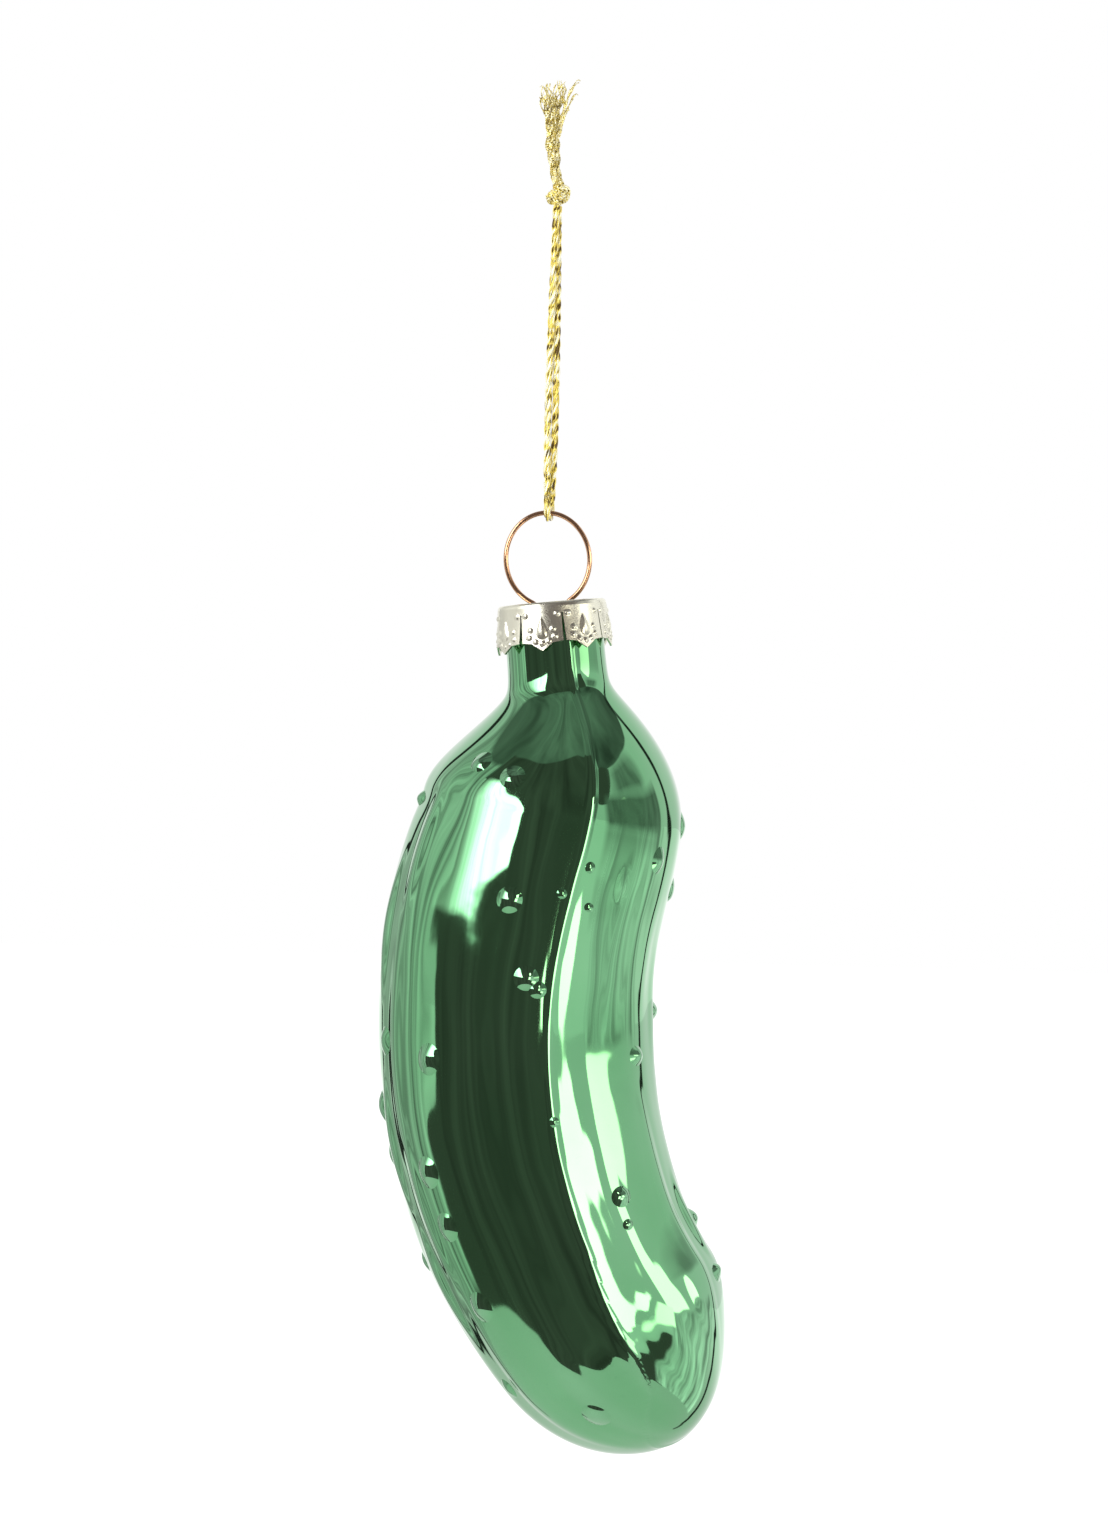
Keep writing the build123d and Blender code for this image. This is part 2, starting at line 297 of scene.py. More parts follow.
def line_frames(line: Points) -> tuple[Points, Points]:
    """Two directions square to a line that turn with it as little as they can.

    Args:
        line: Points along the line.

    Returns:
        The first and the second direction at each point.
    """
    headings = np.gradient(line, axis=0)
    headings /= np.linalg.norm(headings, axis=1)[:, None]
    side = np.cross(headings[0], (0.0, 1.0, 0.0))
    if np.linalg.norm(side) < 0.1:
        side = np.cross(headings[0], (1.0, 0.0, 0.0))
    first = np.zeros_like(line)
    for i, heading in enumerate(headings):
        side = side - heading * np.dot(side, heading)
        side = side / np.linalg.norm(side)
        first[i] = side
    return first, np.cross(headings, first)


@dataclass(frozen=True)
class YarnSection:
    """Cross-section of a yarn or filament, which may be flat and may turn along its length."""

    half_width: float
    half_depth: float
    sides: int
    turns_per_mm: float = 0.0


def yarn_tube(name: str, line: Points, section: YarnSection, taper: Points | None = None) -> Piece:
    """Make one yarn along a line.

    Args:
        name: Name of the yarn.
        line: Points along its middle, in millimetres.
        section: Its cross-section.
        taper: Share of the full section at each point, or None for the full section.

    Returns:
        The yarn, closed at both ends.
    """
    first, second = line_frames(line)
    run = run_of(line)
    share = np.ones(len(line)) if taper is None else taper
    piece, u, v = add_grid(name, section.sides, len(line) - 1)
    place = np.rint(v * (len(line) - 1)).astype(int)
    turn = 2 * np.pi * u
    roll = 2 * np.pi * section.turns_per_mm * run[place]
    across = section.half_width * share[place] * np.cos(turn)
    deep = section.half_depth * share[place] * np.sin(turn)
    offset_first = (across * np.cos(roll) - deep * np.sin(roll))[:, None]
    offset_second = (across * np.sin(roll) + deep * np.cos(roll))[:, None]
    place_points(piece, line[place] + first[place] * offset_first + second[place] * offset_second)
    close_seams(piece, gap=0.004, cap_ends=True)
    return piece


def twist_about(line: Points, radius: Points | float, pitch: float, phase: float) -> Points:
    """Line of one yarn that winds round another line.

    Args:
        line: Points along the middle of the rope.
        radius: Distance of the yarn from the middle, everywhere or at each point.
        pitch: Length of one turn.
        phase: Angle at the start, in radians.

    Returns:
        Points along the yarn.
    """
    first, second = line_frames(line)
    turn = 2 * np.pi * run_of(line) / pitch + phase
    reach = np.broadcast_to(radius, turn.shape)
    return line + first * (reach * np.cos(turn))[:, None] + second * (reach * np.sin(turn))[:, None]


# Material tools


class NodeBench:
    """Adds and links the nodes of one node tree."""

    def __init__(self, tree: bpy.types.NodeTree) -> None:
        """Start with an empty tree."""
        self.tree = tree
        tree.nodes.clear()

    def add(self, kind: str, inputs: dict | None = None, **settings: object) -> bpy.types.Node:
        """Add a node.

        Args:
            kind: Blender's name for the kind of node.
            inputs: Values, or sockets to link, by the input's name or number.
            **settings: Properties of the node.

        Returns:
            The new node.
        """
        node = self.tree.nodes.new(kind)
        for name, value in settings.items():
            setattr(node, name, value)
        for key, value in (inputs or {}).items():
            if isinstance(value, Socket):
                self.tree.links.new(value, node.inputs[key])
            else:
                node.inputs[key].default_value = value
        return node

    def math(self, operation: str, *values: object, clamp: bool = False) -> Socket:
        """Add a Math node and return its result."""
        inputs = dict(enumerate(values))
        return self.add("ShaderNodeMath", inputs, operation=operation, use_clamp=clamp).outputs[0]

    def mix_colour(self, factor: object, first: object, second: object) -> Socket:
        """Mix two colours.

        Args:
            factor: Share of the second colour.
            first: First colour, or its socket.
            second: Second colour, or its socket.

        Returns:
            The mixed colour.
        """
        inputs = {0: factor, 6: first, 7: second}
        return self.add("ShaderNodeMix", inputs, data_type="RGBA").outputs[2]

    def span(
        self, value: Socket, low: float, high: float, to_low: float = 0.0, to_high: float = 1.0
    ) -> Socket:
        """Map a value's range to another one, held at its ends.

        Args:
            value: Socket of the value.
            low: Value that maps to to_low.
            high: Value that maps to to_high.
            to_low: First end of the new range.
            to_high: Second end of the new range.

        Returns:
            Socket of the mapped value.
        """
        inputs = {0: value, 1: low, 2: high, 3: to_low, 4: to_high}
        return self.add("ShaderNodeMapRange", inputs, clamp=True).outputs[0]

    def noise(self, place: object, scale: object, detail: float, roughness: float) -> Socket:
        """Add a noise texture and return its value."""
        inputs = {"Vector": place, "Scale": scale, "Detail": detail, "Roughness": roughness}
        return self.add("ShaderNodeTexNoise", inputs).outputs[0]

    def place(self, kind: str = "Object") -> Socket:
        """Add texture coordinates and return those of one kind."""
        return self.add("ShaderNodeTexCoord").outputs[kind]

    def stretched(self, scale: tuple) -> Socket:
        """Add the piece's UV places, scaled, and return them."""
        return self.add("ShaderNodeMapping", {"Vector": self.place("UV"), "Scale": scale}).outputs[0]

    def crest(self) -> Socket:
        """Add the piece's crest attribute and return its value."""
        return self.add("ShaderNodeAttribute", attribute_name="crest").outputs["Fac"]

    def bump(self, height: object, strength: float, depth: float) -> Socket:
        """Add a bump of a depth in millimetres and return its normal."""
        inputs = {"Strength": strength, "Distance": depth * MM, "Height": height}
        return self.add("ShaderNodeBump", inputs).outputs[0]

    def end(self, shader: bpy.types.Node) -> None:
        """End a material in a shader."""
        self.add("ShaderNodeOutputMaterial", {"Surface": shader.outputs[0]})


def new_material(name: str) -> tuple[bpy.types.Material, NodeBench]:
    """Make a material and the bench of its empty node tree."""
    material = bpy.data.materials.new(name)
    material.use_nodes = True
    return material, NodeBench(material.node_tree)


@dataclass(frozen=True)
class HandlingMarks:
    """Shared effect of handling: cloudy tone, fine specks and uneven polish."""

    name: str = "handling_marks"
    cloud_noise: tuple = (4.0, 0.6)
    cloud_span: tuple = (0.38, 0.68)
    cloud_share: float = 0.6
    speck_ratio: float = 14.0
    speck_noise: tuple = (2.0, 0.7)
    speck_span: tuple = (0.66, 0.74)

    def group(self) -> bpy.types.NodeTree:
        """Make the effect's node group, or give the one that is made already.

        Returns:
            A group with the inputs Clean, Handled, Scale and Speck, and the outputs Colour, Polish and
            Height.
        """
        if self.name in bpy.data.node_groups:
            return bpy.data.node_groups[self.name]
        group = bpy.data.node_groups.new(self.name, "ShaderNodeTree")
        sockets = {
            "INPUT": {"Clean": "Color", "Handled": "Color", "Scale": "Float", "Speck": "Float"},
            "OUTPUT": {"Colour": "Color", "Polish": "Float", "Height": "Float"},
        }
        for direction, kinds in sockets.items():
            for socket, kind in kinds.items():
                group.interface.new_socket(socket, in_out=direction, socket_type=f"NodeSocket{kind}")
        bench = NodeBench(group)
        given = bench.add("NodeGroupInput").outputs
        place = bench.place()
        cloud = bench.noise(place, given["Scale"], *self.cloud_noise)
        fine_scale = bench.math("MULTIPLY", given["Scale"], self.speck_ratio)
        fine = bench.noise(place, fine_scale, *self.speck_noise)
        clouds = bench.math("MULTIPLY", bench.span(cloud, *self.cloud_span), self.cloud_share)
        specks = bench.math("MULTIPLY", bench.span(fine, *self.speck_span), given["Speck"])
        mask = bench.math("ADD", clouds, specks, clamp=True)
        colour = bench.mix_colour(mask, given["Clean"], given["Handled"])
        bench.add("NodeGroupOutput", {"Colour": colour, "Polish": mask, "Height": fine})
        return group


@dataclass(frozen=True)
class HandledFinish:
    """Values that a finish gives to the shared effect of handling, and its roughness at both ends."""

    clean: Colour
    handled: Colour
    scale: float
    speck: float
    smooth: float
    dull: float

    def add_to(self, bench: NodeBench) -> tuple[Socket, ...]:
        """Place the effect in a material.

        Args:
            bench: Bench of the material.

        Returns:
            Sockets of its colour, of its roughness and of the height of its specks.
        """
        inputs = {"Clean": self.clean, "Handled": self.handled, "Scale": self.scale, "Speck": self.speck}
        marks = bench.add("ShaderNodeGroup", inputs, node_tree=HandlingMarks().group()).outputs
        rough = bench.span(marks["Polish"], 0.0, 1.0, self.smooth, self.dull)
        return marks["Colour"], rough, marks["Height"]


@dataclass(frozen=True)
class SilveredLacquer:
    """Green transparent lacquer over silvered glass, with a painted highlight where the glass stands proud.
    """

    marks: HandledFinish = HandledFinish(
        (0.15, 0.43, 0.195, 1), (0.12, 0.37, 0.16, 1), scale=60.0, speck=0.25, smooth=0.035, dull=0.075
    )
    # Paler colour mixed in where the glass stands proud: a painted highlight on warts, ridges and seam.
    crest: Colour = (0.25, 0.50, 0.30, 1)
    crest_span: tuple = (0.1, 0.9)
    crest_share: float = 0.55
    coat: float = 0.45
    coat_roughness: float = 0.02
    coat_ior: float = 1.5
    ripple: float = 0.012
    ripple_noise: tuple = (420.0, 1.0, 0.4)
    ripple_depth: float = 0.4

    def make(self) -> bpy.types.Material:
        """Make the material, with a painted highlight: paler where the piece's crest attribute is high."""
        material, bench = new_material(Slot.GLASS.value)
        colour, rough, _ = self.marks.add_to(bench)
        # Painted highlight: the colour pales as the crest attribute, how far the glass stands proud, rises.
        thin = bench.span(bench.crest(), *self.crest_span, 0.0, self.crest_share)
        ripples = bench.noise(bench.place(), *self.ripple_noise)
        inputs = {
            "Base Color": bench.mix_colour(thin, colour, self.crest),
            "Metallic": 1.0,
            "Roughness": rough,
            "Coat Weight": self.coat,
            "Coat Roughness": self.coat_roughness,
            "Coat IOR": self.coat_ior,
            "Normal": bench.bump(ripples, self.ripple, self.ripple_depth),
        }
        bench.end(bench.add("ShaderNodeBsdfPrincipled", inputs))
        return material


@dataclass(frozen=True)
class StampedMetal:
    """Thin stamped metal of a pale champagne tone, with painted shade that darkens its hollows."""

    marks: HandledFinish = HandledFinish(
        (0.92, 0.91, 0.77, 1), (0.83, 0.81, 0.65, 1), scale=160.0, speck=0.15, smooth=0.25, dull=0.36
    )
    # Darker colour mixed in where the crest attribute is low: painted shade in the hollows.
    hollow: Colour = (0.50, 0.47, 0.38, 1)
    hollow_span: tuple = (0.0, 0.5)
    hollow_share: float = 0.45
    grain: float = 0.06
    grain_depth: float = 0.12

    def make(self) -> bpy.types.Material:
        """Make the material, with painted shade: darker where the piece's crest attribute is low, in the
        hollows of the skirt.
        """
        material, bench = new_material(Slot.CAP.value)
        colour, rough, specks = self.marks.add_to(bench)
        # Painted shade: the colour darkens where the cap stands least proud.
        sunk = bench.span(bench.crest(), *self.hollow_span, self.hollow_share, 0.0)
        inputs = {
            "Base Color": bench.mix_colour(sunk, colour, self.hollow),
            "Metallic": 1.0,
            "Roughness": rough,
            "Normal": bench.bump(specks, self.grain, self.grain_depth),
        }
        bench.end(bench.add("ShaderNodeBsdfPrincipled", inputs))
        return material


@dataclass(frozen=True)
class DrawnWire:
    """Copper-coloured drawn wire, slightly browned where it was handled."""

    marks: HandledFinish = HandledFinish(
        (0.78, 0.47, 0.28, 1), (0.52, 0.28, 0.15, 1), scale=330.0, speck=0.4, smooth=0.14, dull=0.3
    )

    def make(self) -> bpy.types.Material:
        """Make the material."""
        material, bench = new_material(Slot.WIRE.value)
        colour, rough, _ = self.marks.add_to(bench)
        inputs = {"Base Color": colour, "Metallic": 1.0, "Roughness": rough}
        bench.end(bench.add("ShaderNodeBsdfPrincipled", inputs))
        return material


@dataclass(frozen=True)
class MetallicYarn:
    """Yarn wrapped in gold film, with painted glints and painted shade in dashes along its length."""

    marks: HandledFinish = HandledFinish(
        (0.95, 0.77, 0.16, 1), (0.80, 0.60, 0.08, 1), scale=900.0, speck=0.5, smooth=0.26, dull=0.46
    )
    # Painted glints: pale gold mixed in along the yarn by the wrap noise.
    flash: Colour = (1.0, 0.98, 0.74, 1)
    # Painted shade: dark dashes mixed in along the yarn by the same noise.
    shade: Colour = (0.12, 0.07, 0.01, 1)
    flash_span: tuple = (0.5, 0.57)
    shade_span: tuple = (0.44, 0.39)
    wraps: tuple = (3.0, 55.0, 1.0)
    wrap_noise: tuple = (1.0, 1.0, 0.5)
    film: float = 0.3
    relief: float = 0.35
    relief_depth: float = 0.08

    def make(self) -> bpy.types.Material:
        """Make the material, whose film wraps, with their painted glints and painted shade, follow the yarn's
        own UV map.
        """
        material, bench = new_material(Slot.CORD.value)
        colour, rough, _ = self.marks.add_to(bench)
        wrap = bench.noise(bench.stretched(self.wraps), *self.wrap_noise)
        # Painted glints and painted shade from the wrap noise.
        colour = bench.mix_colour(bench.span(wrap, *self.flash_span), colour, self.flash)
        colour = bench.mix_colour(bench.span(wrap, *self.shade_span), colour, self.shade)
        inputs = {
            "Base Color": colour,
            "Metallic": self.film,
            "Roughness": rough,
            "Normal": bench.bump(wrap, self.relief, self.relief_depth),
        }
        bench.end(bench.add("ShaderNodeBsdfPrincipled", inputs))
        return material


def dress(piece: Piece, material: bpy.types.Material, body: Body, slot: Slot) -> None:
    """Give a piece its material and its body.

    Args:
        piece: The finished piece.
        material: Its material.
        body: Body that it rides on.
        slot: Slot of the record that it takes its finish from; not used.
    """
    piece.data.materials.clear()
    piece.data.materials.append(material)
    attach(piece, body.value)
    log.info("%s rides on %s with %d faces", piece.name, body.value, len(piece.data.polygons))


# Camera


@dataclass(frozen=True)
class PhotoCamera:
    """Camera level with the ornament, rolled a little as the photograph is."""

    aim_x: float = 1.44
    aim_z: float = -68.0
    distance: float = 900.0
    view_height: float = 186.3
    roll: float = 1.57
    sensor: float = 36.0
    clip_m: tuple = (0.01, 50.0)

    def make(self) -> None:
        """Make the camera and make it the scene's own."""
        data = bpy.data.cameras.new("photo_camera")
        data.sensor_width = self.sensor
        data.lens = self.sensor * self.distance / self.view_height
        data.clip_start, data.clip_end = self.clip_m
        camera = bpy.data.objects.new("photo_camera", data)
        bpy.context.scene.collection.objects.link(camera)
        lean = math.radians(self.roll)
        right = Vector((math.cos(lean), 0, math.sin(lean)))
        up = Vector((-math.sin(lean), 0, math.cos(lean)))
        back = Vector((0, -1, 0))
        turn = Matrix((right, up, back)).transposed().to_4x4()
        place = Vector((self.aim_x, -self.distance, self.aim_z)) * MM
        camera.matrix_world = Matrix.Translation(place) @ turn
        bpy.context.scene.camera = camera


# Cord


@dataclass
class GoldCord:
    """Twisted gold cord: a loop through the ring, a knot above it and two frayed tails."""

    diameter: float = 0.85
    plies: int = 3
    pitch: float = 5.0
    front_strand: tuple = (
        (-0.12, -0.48, 0.0),
        (-0.38, -0.28, -13.0),
        (-0.48, 0.02, -27.0),
        (-0.36, -0.56, -33.0),
        (-0.26, -0.84, -36.0),
        (-0.20, -0.84, -38.1),
    )
    length: float = 77.5
    loop_steps: tuple = (24, 0.16)
    knot_steps: tuple = (16, 0.09)
    tail_steps: tuple = (16, 0.14)
    knot_route: tuple = (
        (0.00, 0.00, -0.30),
        (-0.34, -0.32, 0.60),
        (-0.12, -0.55, 1.65),
        (0.70, -0.34, 2.35),
        (1.10, 0.16, 1.60),
        (0.50, 0.58, 0.80),
        (-0.50, 0.56, 0.62),
        (-1.10, 0.05, 1.20),
        (-0.62, -0.78, 1.60),
        (0.22, -0.95, 1.05),
        (0.62, -0.28, 1.70),
        (0.15, 0.10, 2.60),
        (-0.10, 0.00, 3.20),
    )
    knot_half_gap: float = 0.27
    knot_pitch: float = 3.2
    tail_foot: float = 2.8
    tail_root: float = 0.9
    front_tail: tuple = ((-0.40, -0.48, 0.0), (-0.95, -0.55, 3.4), (-1.15, -0.62, 7.4), (-1.75, -0.80, 12.4))
    back_tail: tuple = ((0.15, 0.48, 0.0), (-0.35, 0.55, 3.4), (-0.50, 0.62, 7.4), (0.25, 0.80, 12.8))
    tail_pitch: float = 6.25
    stray_tips: tuple = (
        (2.4, -0.3, 12.6),
        (1.9, 0.3, 11.2),
        (1.3, -0.6, 9.2),
        (2.1, -0.1, 12.9),
        (-2.3, -0.6, 12.0),
    )
    stray_foot: tuple = (-0.6, 0.45)
    stray_bends: tuple = ((0.2, 0.7), (0.55, 0.9))
    stray_bow: float = 0.25
    stray_hook: float = 0.4
    filaments_per_yarn: int = 5
    filament_gap: float = 0.22
    filament_reach: tuple = (1.05, 0.8)
    filament_drift: tuple = (0.6, 0.4)
    filament_wave: tuple = (0.05, 0.2)
    filament_waves: tuple = (2.5, 5.5)
    filament_kept: tuple = (0.8, 1.0)
    tip_taper: float = 0.55
    taper_from: float = 0.8
    seed: int = 7
    yarn: YarnSection = YarnSection(0.225, 0.225, 10)
    knot_yarn: YarnSection = YarnSection(0.2, 0.2, 8)
    filament: YarnSection = YarnSection(0.18, 0.08, 6, 0.25)

    def loop_line(self) -> Points:
        """Middle line of the loop, down the front strand, round the ring and up the back."""
        back_strand = [(-x, -y, z) for x, y, z in reversed(self.front_strand)]
        return smooth_line([*self.front_strand, *back_strand], *self.loop_steps)

    def rope(self, name: str, line: Points, section: YarnSection, pitch: float) -> list[Piece]:
        """Twist yarns round a line.

        Args:
            name: Start of the yarns' names.
            line: Middle line of the rope.
            section: Section of one yarn.
            pitch: Length of one turn of the twist.

        Returns:
            The yarns.
        """
        yarns = []
        for ply in range(self.plies):
            winding = twist_about(line, section.half_width, pitch, 2 * np.pi * ply / self.plies)
            yarns.append(yarn_tube(f"{name}_{ply}", winding, section))
        return yarns

    def build_loop(self) -> tuple[Piece, Points]:
        """Build the loop and give the line that it follows."""
        line = self.loop_line()
        return join_pieces(self.rope("cord_loop", line, self.yarn, self.pitch), "gold_cord_loop"), line

    def build_knot(self) -> Piece:
        """Build the knot, tied in the doubled cord."""
        middle = smooth_line(self.knot_route, *self.knot_steps)
        _, second = line_frames(middle)
        yarns = []
        for sign in (-1, 1):
            strand = middle + second * sign * self.knot_half_gap
            yarns += self.rope(f"cord_knot_{sign}", strand, self.knot_yarn, self.knot_pitch)
        return join_pieces(yarns, "gold_cord_knot")

    def filament_lines(self, tail: tuple, random: np.random.Generator) -> Iterable[Points]:
        """Lines of one tail's filaments, twisted at its foot and loose at its top.

        Args:
            tail: Points along the middle of the tail.
            random: Source of the filaments' differences.

        Yields:
            Points along each filament.
        """
        raised = [(x, y, z + self.tail_foot) for x, y, z in tail]
        root = (raised[0][0] / 2, 0, self.tail_foot - self.tail_root)
        middle = smooth_line([root, *raised], *self.tail_steps)
        run = run_of(middle)
        share = run / run[-1]
        loose = smooth_step(0.0, 1.0, share)
        tight, spread = self.filament_reach
        for ply in range(self.plies):
            for strand in range(self.filaments_per_yarn):
                phase = 2 * np.pi * (ply + self.filament_gap * strand) / self.plies
                reach = self.yarn.half_width * (tight + spread * loose)
                line = twist_about(middle, reach, self.tail_pitch, phase)
                drift = random.uniform(-1, 1, 2) * self.filament_drift
                wave = random.uniform(*self.filament_wave)
                waves = random.uniform(*self.filament_waves)
                start = random.uniform(0, 2 * np.pi)
                bend = np.sin(2 * np.pi * waves * share + start) * wave * loose
                line = line + np.stack((drift[0] * loose + bend, drift[1] * loose, 0 * loose), axis=1)
                yield line[: int(len(line) * random.uniform(*self.filament_kept))]

    def stray_lines(self) -> Iterable[Points]:
        """Lines of the loose filaments that curl out of the tails."""
        foot_x, foot_share = self.stray_foot
        (low_reach, low_share), (high_reach, high_share) = self.stray_bends
        for i, (x, y, height) in enumerate(self.stray_tips):
            bow = self.stray_bow * (1 if i % 2 else -1)
            route = (
                (foot_x, 0.0, foot_share * height),
                (x * low_reach, y, low_share * height),
                (x * high_reach + bow, y, high_share * height),
                (x, y, height),
                (x + bow, y, height - self.stray_hook),
            )
            yield smooth_line([(px, py, pz + self.tail_foot) for px, py, pz in route], *self.tail_steps)

    def build_tails(self) -> list[Piece]:
        """Build the two frayed tails."""
        random = np.random.default_rng(self.seed)
        tails = []
        for name, tail, strays in (
            ("gold_cord_tail_front", self.front_tail, ()),
            ("gold_cord_tail_back", self.back_tail, self.stray_lines()),
        ):
            pieces = []
            for i, line in enumerate((*self.filament_lines(tail, random), *strays)):
                shares = np.linspace(0, 1, len(line))
                taper = 1 - self.tip_taper * smooth_step(self.taper_from, 1.0, shares)
                pieces.append(yarn_tube(f"{name}_{i}", line, self.filament, taper))
            tails.append(join_pieces(pieces, name))
        return tails

    def make(self, finish: MetallicYarn) -> None:
        """Args:
            finish: Finish of the gold yarn.
        """
        material = finish.make()
        loop, line = self.build_loop()
        knot = self.build_knot()
        tails = self.build_tails()
        nodes = ("cord_loop", "cord_knot", "cord_tail_front", "cord_tail_back")
        for piece, node in zip((loop, knot, *tails), nodes):
            shade_smooth(piece, angle=60)
            dress(piece, material, Body.CORD, Slot.CORD)
            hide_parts(node)


# Neck frame, shared by the hanger, the cap and the glass


@dataclass(frozen=True)
class NeckFrame:
    """Place and lean of the neck: the ring's middle, and the directions up and across the neck."""

    ring_drop: float = 43.1
    lean: float = 6.5

    @property
    def middle(self) -> Points:
        """Middle of the ring."""
        return np.array((0.0, 0.0, -self.ring_drop))

    @property
    def up(self) -> Points:
        """Direction up the neck."""
        return np.array((-math.sin(math.radians(self.lean)), 0.0, math.cos(math.radians(self.lean))))

    @property
    def across(self) -> Points:
        """Direction across the neck, towards +X."""
        return np.array((math.cos(math.radians(self.lean)), 0.0, math.sin(math.radians(self.lean))))

    def flat_point(self, across: float, up: float) -> Points:
        """Point in the plane of the ring."""
        return self.middle + self.across * across + self.up * up

    def round_point(self, radius: Points, turn: Points, up: Points) -> Points:
        """Points about the neck's axis.

        Args:
            radius: Distances from the axis.
            turn: Angles from the front towards +X, in radians.
            up: Heights above the ring's middle.

        Returns:
            The points.
        """
        front = np.array((0.0, -1.0, 0.0))
        outwards = np.cos(turn)[:, None] * front + np.sin(turn)[:, None] * self.across
        return self.middle + outwards * radius[:, None] + self.up * up[:, None]


# Hanger


@dataclass
class WireHanger:
    """Bent wire: a ring above the cap, a waist in its slot and two spring legs in the neck."""

    neck: NeckFrame
    wire_diameter: float = 0.6
    ring_half_width: float = 5.1
    ring_half_height: float = 5.7
    ring_leave: float = 60.0
    ring_steps: int = 96
    waist_half_width: float = 1.25
    leg_spread: float = 4.4
    knee_drop: float = 12.7
    foot_drop: float = 21.0
    toe_in: float = 1.3
    toe_length: float = 1.8
    bends: tuple = (1.2, 2.5, 1.5)
    bend_steps: int = 12
    round_steps: int = 5

    def ring_place(self, turn: float) -> Points:
        """Place on the ring at an angle in radians from its right."""
        return np.array((self.ring_half_width * math.cos(turn), self.ring_half_height * math.sin(turn)))

    def leg_corners(self) -> list[Points]:
        """Corners of the right leg, from its toe up to the ring."""
        leave = math.radians(self.ring_leave)
        side = self.ring_place(-leave)
        slope = self.ring_half_width / self.ring_half_height * math.tan(leave)
        waist_drop = -side[1] + (side[0] - self.waist_half_width) / slope
        return [
            np.array((self.leg_spread - self.toe_in, -self.foot_drop - self.toe_length)),
            np.array((self.leg_spread, -self.foot_drop)),
            np.array((self.leg_spread, -self.knee_drop)),
            np.array((self.waist_half_width, -waist_drop)),
            side,
        ]

    def leg_line(self) -> list[Points]:
        """Points up the right leg, with its corners rounded."""
        corners = self.leg_corners()
        line = [corners[0]]
        for before, corner, after, bend in zip(corners, corners[1:], corners[2:], self.bends):
            back = (before - corner) / np.linalg.norm(before - corner)
            ahead = (after - corner) / np.linalg.norm(after - corner)
            half = math.acos(float(np.dot(back, ahead))) / 2
            inwards = (back + ahead) / np.linalg.norm(back + ahead)
            middle = corner + inwards * bend / math.sin(half)
            reach = bend / math.tan(half)
            for share in np.linspace(0, 1, self.bend_steps):
                spoke = corner + (back * (1 - share) + ahead * share) * reach - middle
                line.append(middle + spoke / np.linalg.norm(spoke) * bend)
        return line

    def wire_line(self) -> list[Points]:
        """Points along the whole wire: up the right leg, round the ring and down the left leg."""
        leave = math.radians(self.ring_leave)
        right = self.leg_line()
        ring = [self.ring_place(turn) for turn in np.linspace(-leave, math.pi + leave, self.ring_steps)]
        left = [place * (-1, 1) for place in reversed(right)]
        return [*right, *ring, *left]

    def build(self) -> Piece:
        """Build the wire as a bevelled curve and make it a mesh."""
        line = self.wire_line()
        curve = bpy.data.curves.new("hanger", "CURVE")
        curve.dimensions = "3D"
        curve.bevel_depth = self.wire_diameter / 2 * MM
        curve.bevel_resolution = self.round_steps
        curve.use_fill_caps = True
        spline = curve.splines.new("POLY")
        spline.points.add(len(line) - 1)
        for point, place in zip(spline.points, line):
            point.co = (*(self.neck.flat_point(*place) * MM), 1.0)
        wire = bpy.data.objects.new("copper_hanger", curve)
        bpy.context.scene.collection.objects.link(wire)
        make_active(wire)
        bpy.ops.object.convert(target="MESH")
        wire = bpy.context.view_layer.objects.active
        close_seams(wire, gap=0.002, cap_ends=False)
        shade_smooth(wire, angle=50)
        return wire

    def make(self, finish: DrawnWire) -> None:
        """Build and dress the hanger."""
        wire = self.build()
        dress(wire, finish.make(), Body.HANGER, Slot.WIRE)
        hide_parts("hanger_wire")


# Cap


